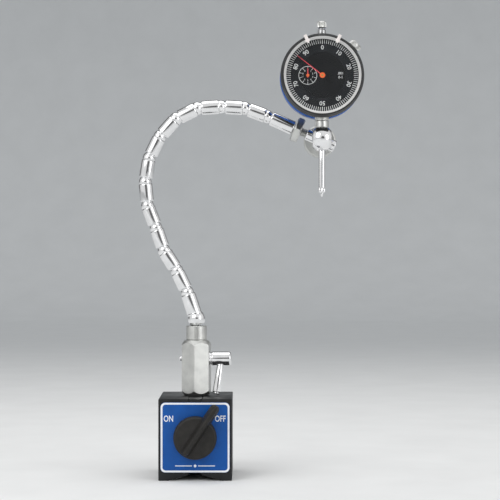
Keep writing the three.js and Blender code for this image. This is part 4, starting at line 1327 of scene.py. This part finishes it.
class INDICATOR_OT_dial(BuildOperator, bpy.types.Operator):
    """Builds the two-part dial with its graduations and numbers"""

    bl_idname = "indicator.dial"
    bl_label = "Dial"

    def execute(self, context):
        settings = context.scene.indicator_dial
        place = dial_place()
        back, front = dial_level("dial_ring", False), dial_level("dial_ring")
        split, outer = 15.6, 25.9
        ring = turned([(split, back), (outer, back), (outer, front - 0.05), (outer - 0.05, front),
                       (split + 0.12, front), (split, front - 0.1), (split, back)], 192)
        # painted sheen: the outer ring's lacquer is a little lighter than the centre disc's, standing in
        # for a difference in sheen between the two parts
        make_piece("dial_outer", ring, place, "bezel",
                   dial_lacquer("dial_lacquer_outer_painted_sheen", "#1A1C1F", "#212428"), ["dial_ring"])
        disc = turned([(0, back - 0.2), (split + 0.5, back - 0.2), (split + 0.5, back - 0.06),
                       (split - 0.07, back - 0.06), (split - 0.07, front - 0.1), (split - 0.2, front),
                       (0, front)], 160)
        counter = self.counter_offset()
        arbor = rod(1.1, back - 1, front + 1, 32)
        small = moved(rod(0.9, back - 1, front + 1, 32), shift=(counter.x, counter.y, 0))
        disc = combined(disc, ("DIFFERENCE", arbor), ("DIFFERENCE", small))
        make_piece("dial_inner", disc, place, "indicator",
                   dial_lacquer("dial_lacquer_inner", "#101214", "#16181B"), ["dial_centre"])
        self.outer_marks(place, settings, front)
        self.inner_marks(place, settings, front, counter)
        return {"FINISHED"}

    def counter_offset(self):
        spot = joint_point("counter_spin") - joint_point("bezel_turn")
        return Vector((spot.x / MM, spot.z / MM))

    def outer_marks(self, place, settings, front):
        """One hundred graduations, longer at every fifth, and a number at every tenth."""
        marks = bmesh.new()
        outer = settings.tick_outer / MM
        length = settings.tick_length / MM
        height = settings.numeral_height / MM
        for index in range(100):
            half = 0.24 if index % 10 == 0 else 0.19
            start = outer - (length if index % 5 == 0 else length * 0.93)
            strip(marks, around(0, index * 3.6), -half, half, start, outer, front - 0.03, front + 0.04)
        for index in range(10):
            spot = around(outer - length - 1.05 - height / 2, index * 36)
            spot = spot @ Matrix.Translation((0, 0, front))
            lettering(marks, str(index * 10), height * 1.38, spot, 0.07)
        make_piece("dial_graduations", marks, place, "bezel",
                   screen_ink("screen_ink_dial", "#D4D6D6", "#E4E5E5"))

    def inner_marks(self, place, settings, front, counter):
        """The turn counter's ring with its ten marks, and the lettering of the range."""
        marks = bmesh.new()
        radius = settings.counter_radius / MM
        middle = Matrix.Translation((counter.x, counter.y, 0))
        rings = [arc(r, counter.x, counter.y, 0, 360, 96)[:-1] for r in (radius, radius - 0.32)]
        band(marks, *rings, front - 0.03, front + 0.04)
        for index in range(10):
            strip(marks, middle @ around(0, index * 36), -0.15, 0.15, radius - 1.9, radius - 0.15,
                  front - 0.03, front + 0.04)
            digit = spun(middle @ around(radius - 2.8, index * 36), index * 36)
            lettering(marks, str(index), 1.5, digit @ Matrix.Translation((0, 0, front)), 0.07)
        for text, y in ((".001", 1.3), ("0-1", -1.4)):
            lettering(marks, text, 2.4, Matrix.Translation((12.4, y, front)), 0.07)
        make_piece("dial_inner_marks", marks, place, "indicator",
                   screen_ink("screen_ink_dial", "#D4D6D6", "#E4E5E5"))


def blade_outline(length, root_half, tip_half, start=0.0):
    """A slender tapered blade along Y, from a start outwards."""
    outline = [(root_half, start), (root_half * 0.85, start + (length - start) * 0.3)]
    outline += [(tip_half, length - 0.2), (0, length)]
    return outline + [(-x, y) for x, y in reversed(outline[:-1])]


class INDICATOR_OT_pointers(BuildOperator, bpy.types.Operator):
    """Builds the long hand and the turn counter's hand"""

    bl_idname = "indicator.pointers"
    bl_label = "Pointers"

    def execute(self, context):
        settings = context.scene.indicator_dial
        blade_finish = pointer_enamel("pointer_enamel_red", tuple(settings.pointer_colour))
        hub_finish = pointer_enamel("hub_enamel_orange", tuple(settings.hub_colour))
        reading = 51.8  # degrees anticlockwise from up
        place = spun(dial_place(), reading)
        low, high = dial_level("main_pointer", False), dial_level("main_pointer")
        top = low + 0.25
        self.blade("long_hand", blade_outline(22, 0.36, 0.12), low, top, place, "pointer",
                   "pointer_red", blade_finish, ["main_pointer"])
        self.blade("long_hand_tail", blade_outline(6, 0.5, 0.7), low, top - 0.02, spun(place, 180),
                   "pointer", "dial_black", dial_lacquer("dial_lacquer_inner", "#101214", "#16181B"))
        self.hub("long_hand_hub", 1.9, low, high, place, "pointer", hub_finish)
        spot = facing_front(joint_point("counter_spin"))
        shift = (joint_point("bezel_turn").y - joint_point("counter_spin").y) / MM
        low, high = dial_level("counter_pointer", False) - shift, dial_level("counter_pointer") - shift
        top = low + 0.24
        self.blade("short_hand", blade_outline(5.1, 0.42, 0.2), low, top, spot, "counter",
                   "pointer_red", blade_finish, ["counter_pointer"])
        self.blade("short_hand_tail", blade_outline(1.6, 0.42, 0.4), low, top, spun(spot, 180),
                   "counter", "pointer_red", blade_finish)
        self.hub("short_hand_hub", 1.05, low, high, spot, "counter", hub_finish)
        return {"FINISHED"}

    def blade(self, name, outline, low, high, place, body, slot, material, replaced=()):
        shape = prism(eased(outline, 0.06, 2, closed=True), low, high, 0.03)
        make_piece(name, shape, place, body, material, replaced)

    def hub(self, name, radius, low, high, place, body, material):
        """A round boss with a brass rivet in its middle."""
        boss = [(0, low + 0.02), (radius, low + 0.02), (radius, high - 0.08), (radius - 0.12, high),
                (0, high)]
        make_piece(name, turned(eased(boss, 0.05), 64), place, body, material)
        rivet = [(0, high - 0.05), (radius * 0.42, high - 0.05), (radius * 0.42, high + 0.05),
                 (radius * 0.3, high + 0.1), (0, high + 0.1)]
        make_piece(name.replace("hub", "rivet"), turned(eased(rivet, 0.03), 40), place, body,
                   turned_brass())


class INDICATOR_OT_plunger(BuildOperator, bpy.types.Operator):
    """Builds the spindle with its contact point and the lifting cap"""

    bl_idname = "indicator.plunger"
    bl_label = "Plunger"

    def execute(self, context):
        low, high = node_box("spindle")
        level = joint_point("bezel_turn").z
        stand = upright(Vector(((low.x + high.x) / 2, (low.y + high.y) / 2, level)))
        dress("spindle", turned_steel(False))
        tip_low, tip_high = node_box("contact_point")
        foot, head = (tip_low.z - level) / MM, (tip_high.z - level) / MM
        rod_radius, rod_top, collar = 2.22, -48.9, 2.2
        lower = [(0, head + 0.05), (rod_radius - 0.22, head + 0.05), (rod_radius, head + 0.4),
                 (rod_radius, rod_top), (0, rod_top)]
        make_piece("spindle_rod", turned(eased(lower, 0.15), 64), stand, "plunger",
                   bright_chrome())
        teeth = 32
        body = [(0, foot), (0.35, foot + 0.04), (0.75, foot + 0.3), (0.98, foot + 0.8),
                (1.05, foot + 2.2), (1.55, foot + 2.65), (2.0, foot + 2.8), (collar, foot + 3.1),
                (collar, head - 0.3), (2.0, head - 0.05), (0, head - 0.05)]
        shape = turned(body, teeth * 4, knurled(teeth, 0.16, collar - 0.05, foot + 3, head))
        make_piece("contact_tip", shape, stand, "plunger", bright_chrome(),
                   ["contact_point"])
        cap_low, cap_high = node_box("lifting_cap")
        bottom, top = (cap_low.z - level) / MM, (cap_high.z - level) / MM
        radius, teeth = 3.1, 40
        cap = [(0, bottom), (radius - 0.4, bottom), (radius, bottom + 0.5),
               *evenly(radius, bottom + 0.8, top - 1.0, 3), (radius, top - 0.7),
               (radius - 0.3, top - 0.25), (2.2, top), (0, top)]
        shape = turned(cap, teeth * 4, knurled(teeth, 0.2, radius - 0.2, bottom + 0.7, top - 0.9))
        make_piece("lifting_button", shape, stand, "plunger", satin_nickel(),
                   ["lifting_cap"])
        return {"FINISHED"}


class INDICATOR_OT_bezel_fittings(BuildOperator, bpy.types.Operator):
    """Builds the two tolerance clips and the screw that locks the bezel"""

    bl_idname = "indicator.bezel_fittings"
    bl_label = "Tolerance clips and lock screw"

    def execute(self, context):
        front = dial_level("tolerance_clip_left")
        clip_angle, thickness = 24, 0.6
        for side, name in ((1, "left"), (-1, "right")):
            rear = dial_level(f"tolerance_clip_{name}", False)
            place = spun(dial_place(), side * clip_angle)
            outline = [(0.25, 23.35), (1.9, 25.5), (1.1, 25.9), (1.1, 29.3), (0.9, 29.45), (-0.9, 29.45),
                       (-1.1, 29.3), (-1.1, 25.9), (-1.9, 25.5), (-0.25, 23.35)]
            top = prism(eased(outline, 0.12, 2, closed=True), front - thickness, front, 0.08)
            leg = [(1.1, 28.85), (1.1, 29.45), (-1.1, 29.45), (-1.1, 28.85)]
            leg = prism(leg, rear, front - thickness / 2, 0.08)
            make_piece(f"clip_{name}", combined(top, ("UNION", leg)), place, f"clip_{name}",
                       pale_lacquer("clip_bright_nickel", "#E9E0DE", "#F6F1EE"),
                       [f"tolerance_clip_{name}"], crease=30)
        low, high = node_box("bezel_lock_screw")
        axis = Vector(JOINTS["lock_screw_turn"]["axis"]).normalized()
        centre = joint_point("bezel_turn")
        if axis.z < 0:
            axis = -axis
        origin = Vector((centre.x, (low.y + high.y) / 2, centre.z))
        place = placed(origin, (0, 1, 0), axis.cross(Vector((0, 1, 0))), axis)
        teeth, radius, inner, outer = 36, 4.35, 29.3, 33.2
        head = [(0, inner - 2.6), (1.3, inner - 2.6), (1.3, inner - 1.0), (2.2, inner - 0.9),
                (2.2, inner), (radius - 0.45, inner), (radius, inner + 0.45),
                *evenly(radius, inner + 0.65, outer - 0.65, 3), (radius, outer - 0.45),
                (radius - 0.45, outer), (1.6, outer), (1.4, outer - 0.3), (0, outer - 0.3)]
        knurl = knurled(teeth, 0.25, radius - 0.25, inner + 0.6, outer - 0.6)
        make_piece("lock_screw_head", turned(head, teeth * 4, knurl), place, "lock_screw",
                   satin_nickel(), ["bezel_lock_screw"])
        return {"FINISHED"}


class INDICATOR_OT_magnetic_back(BuildOperator, bpy.types.Operator):
    """Builds the magnetic back: a blue cup with a ring magnet and a turned pole"""

    bl_idname = "indicator.magnetic_back"
    bl_label = "Magnetic back"

    def execute(self, context):
        settings = context.scene.indicator_dial
        centre = joint_point("bezel_turn")
        low, high = node_box("back_shell")
        place = placed(Vector((centre.x, low.y, centre.z)), (-1, 0, 0), (0, 0, 1), (0, 1, 0))
        depth = (high.y - low.y) / MM
        floor = depth - 2.0
        shell = [(0, 0), (27.4, 0), (28.5, 1.1), (28.5, depth - 1.2), (27.6, depth - 0.1),
                 (26.9, depth), (26.2, depth - 0.4), (26.2, floor), (0, floor)]
        make_piece("back_cup", turned(eased(shell, 0.45), 160), place, "indicator",
                   blue_enamel(tuple(settings.back_blue)), ["back_shell"])
        ring = [(23.2, floor), (26.0, floor), (26.0, floor + 0.5), (25.6, floor + 1.0),
                (23.6, floor + 1.0), (23.2, floor + 0.6), (23.2, floor)]
        make_piece("back_steel_ring", turned(eased(ring, 0.1), 160), place, "indicator",
                   turned_steel())
        hidden = floor - 0.2
        back = (node_box("back_magnet")[1].y - low.y) / MM
        magnet = [(10.2, hidden), (21.0, hidden), (21.0, back - 0.5), (20.5, back), (10.7, back),
                  (10.2, back - 0.5), (10.2, hidden)]
        make_piece("back_ferrite_ring", turned(magnet, 128), place, "indicator",
                   sintered_ferrite(), ["back_magnet"])
        back = (node_box("back_pole")[1].y - low.y) / MM
        pole = [(0, hidden), (8.4, hidden), (8.4, back - 0.5), (7.9, back), (3.3, back),
                (2.9, back - 0.5), (2.7, back - 1.6), (0, back - 2.2)]
        make_piece("back_pole_piece", turned(eased(pole, 0.2), 96), place, "indicator",
                   turned_steel(), ["back_pole"])
        return {"FINISHED"}


# ---- Stage -------------------------------------------------------------------------------
def soft_light(name, location, target, power, width, height):
    lamp = bpy.data.lights.new(name, "AREA")
    lamp.shape = "RECTANGLE"
    lamp.size, lamp.size_y = width, height
    lamp.energy = power
    holder = bpy.data.objects.new(name, lamp)
    holder.location = location
    holder.rotation_euler = (Vector(target) - Vector(location)).to_track_quat("-Z", "Y").to_euler()
    bpy.context.scene.collection.objects.link(holder)


class INDICATOR_OT_stage(BuildOperator, bpy.types.Operator):
    """Sets the floor, the soft lights, the surroundings and the camera"""

    bl_idname = "indicator.stage"
    bl_label = "Stage"

    def execute(self, context):
        settings = context.scene.indicator_stage
        low, high = (Vector(corner) for corner in CAD_BOX)
        middle = (low + high) / 2
        self.sweep()
        self.surroundings()
        front = low.y - 0.9
        soft_light("key_softbox", (middle.x - 0.75, front, 0.85), middle, settings.key_power,
                   0.8, 0.9)
        soft_light("fill_softbox", (middle.x + 0.95, front + 0.1, 0.4), middle,
                   settings.key_power * 0.5, 0.5, 0.9)
        soft_light("top_softbox", (middle.x, middle.y + 0.1, 1.1), middle,
                   settings.key_power * 0.6, 0.9, 0.7)
        context.scene.view_settings.view_transform = "Standard"
        camera = bpy.data.cameras.new("camera")
        camera.lens = settings.lens / MM
        camera.sensor_width = 36
        height = (high.z - low.z) * (1 + settings.margin * 1.6)
        distance = height / (camera.sensor_width / camera.lens)
        holder = bpy.data.objects.new("camera", camera)
        holder.location = (middle.x, low.y - distance + 0.02, middle.z)
        holder.rotation_euler = (math.pi / 2, 0, 0)
        context.scene.collection.objects.link(holder)
        context.scene.camera = holder
        return {"FINISHED"}

    def sweep(self):
        """A paper floor that curves up into a wall well behind the object."""
        half_width, bend_start, bend, wall_top = 3.5, 2.4, 0.8, 1.9
        profile = [(-half_width, 0.0), *arc(bend, bend_start, bend, -90, 0, 16),
                   (bend_start + bend, wall_top)]
        bm = bmesh.new()
        left, right = (points_of(bm, [(x, y, z) for y, z in profile])
                       for x in (-half_width, half_width))
        for index in range(len(profile) - 1):
            bm.faces.new((left[index], left[index + 1], right[index + 1], right[index]))
        bmesh.ops.recalc_face_normals(bm, faces=bm.faces)
        if sum(face.normal.z for face in bm.faces) < 0:
            bmesh.ops.reverse_faces(bm, faces=bm.faces)
        mesh = bpy.data.meshes.new("paper_sweep")
        bm.to_mesh(mesh)
        bm.free()
        mesh.shade_smooth()
        mesh.materials.append(backdrop_paper())
        floor = bpy.data.objects.new("paper_sweep", mesh)
        bpy.context.scene.collection.objects.link(floor)

    def surroundings(self):
        """A bright room with a dark lens-sized ring in front, where the camera stands, which draws
        the fine grey streaks along the chrome, and dim sides behind, which draw its outlines."""
        world = bpy.data.worlds.new("studio_room")
        world.use_nodes = True
        tree = world.node_tree
        tree.nodes.clear()
        output = add(tree, "ShaderNodeOutputWorld")
        ways = add(tree, "ShaderNodeTexCoord").outputs["Generated"]
        ahead = Vector((0.1, -1, 0.07)).normalized()
        spot = add(tree, "ShaderNodeVectorMath", {"operation": "DOT_PRODUCT"}, {0: ways})
        spot.inputs[1].default_value = ahead
        apart = add(tree, "ShaderNodeMath", {"operation": "ARCCOSINE"}, {0: spot.outputs["Value"]})
        degrees = add(tree, "ShaderNodeMath", {"operation": "DEGREES"}, {0: apart.outputs[0]})
        shades = add(tree, "ShaderNodeValToRGB", {}, {
            "Fac": between(tree, degrees.outputs[0], 0, 1, 0, 180)})
        # degrees away from straight ahead, and how bright the room is there
        stops = [(0, 0.2), (5, 0.17), (8, 0.07), (13, 0.13), (17, 0.78), (70, 0.86), (98, 0.66),
                 (118, 0.12), (150, 0.2), (180, 0.5)]
        elements = shades.color_ramp.elements
        for index, (angle, _) in enumerate(stops):
            if index > 1:
                elements.new(angle / 180)
            elements[index].position = angle / 180
        for element, (_, tone) in zip(elements, stops):
            element.color = (tone, tone, tone, 1)
        path = add(tree, "ShaderNodeLightPath")
        plain = add(tree, "ShaderNodeMix", {"data_type": "RGBA"}, {
            "Factor": path.outputs["Is Camera Ray"], 6: shades.outputs["Color"]})
        plain.inputs[7].default_value = (*linear("#D8DADC"), 1)
        background = add(tree, "ShaderNodeBackground", {"Strength": 1.0}, {"Color": plain.outputs[2]})
        tree.links.new(background.outputs["Background"], output.inputs["Surface"])
        bpy.context.scene.world = world


# ---- Add-on ------------------------------------------------------------------------------
OPERATORS = (
    INDICATOR_OT_base_block, INDICATOR_OT_label_plate, INDICATOR_OT_switch_knob, INDICATOR_OT_column,
    INDICATOR_OT_lever, INDICATOR_OT_arm, INDICATOR_OT_cable, INDICATOR_OT_arm_end,
    INDICATOR_OT_clamp, INDICATOR_OT_case, INDICATOR_OT_bezel, INDICATOR_OT_dial, INDICATOR_OT_pointers,
    INDICATOR_OT_plunger, INDICATOR_OT_bezel_fittings, INDICATOR_OT_magnetic_back, INDICATOR_OT_stage,
)
SETTINGS = {
    "indicator_base": BaseSettings, "indicator_arm": ArmSettings, "indicator_clamp": ClampSettings,
    "indicator_dial": DialSettings, "indicator_stage": StageSettings,
}


class INDICATOR_PT_build(bpy.types.Panel):
    """Lists the sizes and colours, and the steps that build the object"""

    bl_idname = "INDICATOR_PT_build"
    bl_label = "Dial indicator on magnetic base"
    bl_space_type = "VIEW_3D"
    bl_region_type = "UI"
    bl_category = "Indicator"

    def draw(self, context):
        for group in SETTINGS:
            box = self.layout.box()
            settings = getattr(context.scene, group)
            for name in settings.__class__.__annotations__:
                box.prop(settings, name)
        for operator in OPERATORS:
            self.layout.operator(operator.bl_idname)


def register():
    for item in (*SETTINGS.values(), *OPERATORS, INDICATOR_PT_build):
        bpy.utils.register_class(item)
    for name, group in SETTINGS.items():
        setattr(bpy.types.Scene, name, PointerProperty(type=group))


def unregister():
    for name in SETTINGS:
        delattr(bpy.types.Scene, name)
    for item in (INDICATOR_PT_build, *reversed(OPERATORS), *reversed(SETTINGS.values())):
        bpy.utils.unregister_class(item)


def main():
    register()
    for operator in OPERATORS:
        group, name = operator.bl_idname.split(".")
        if getattr(getattr(bpy.ops, group), name)() != {"FINISHED"}:
            raise RuntimeError(operator.bl_label + " was not built")


if __name__ == "__main__":
    main()
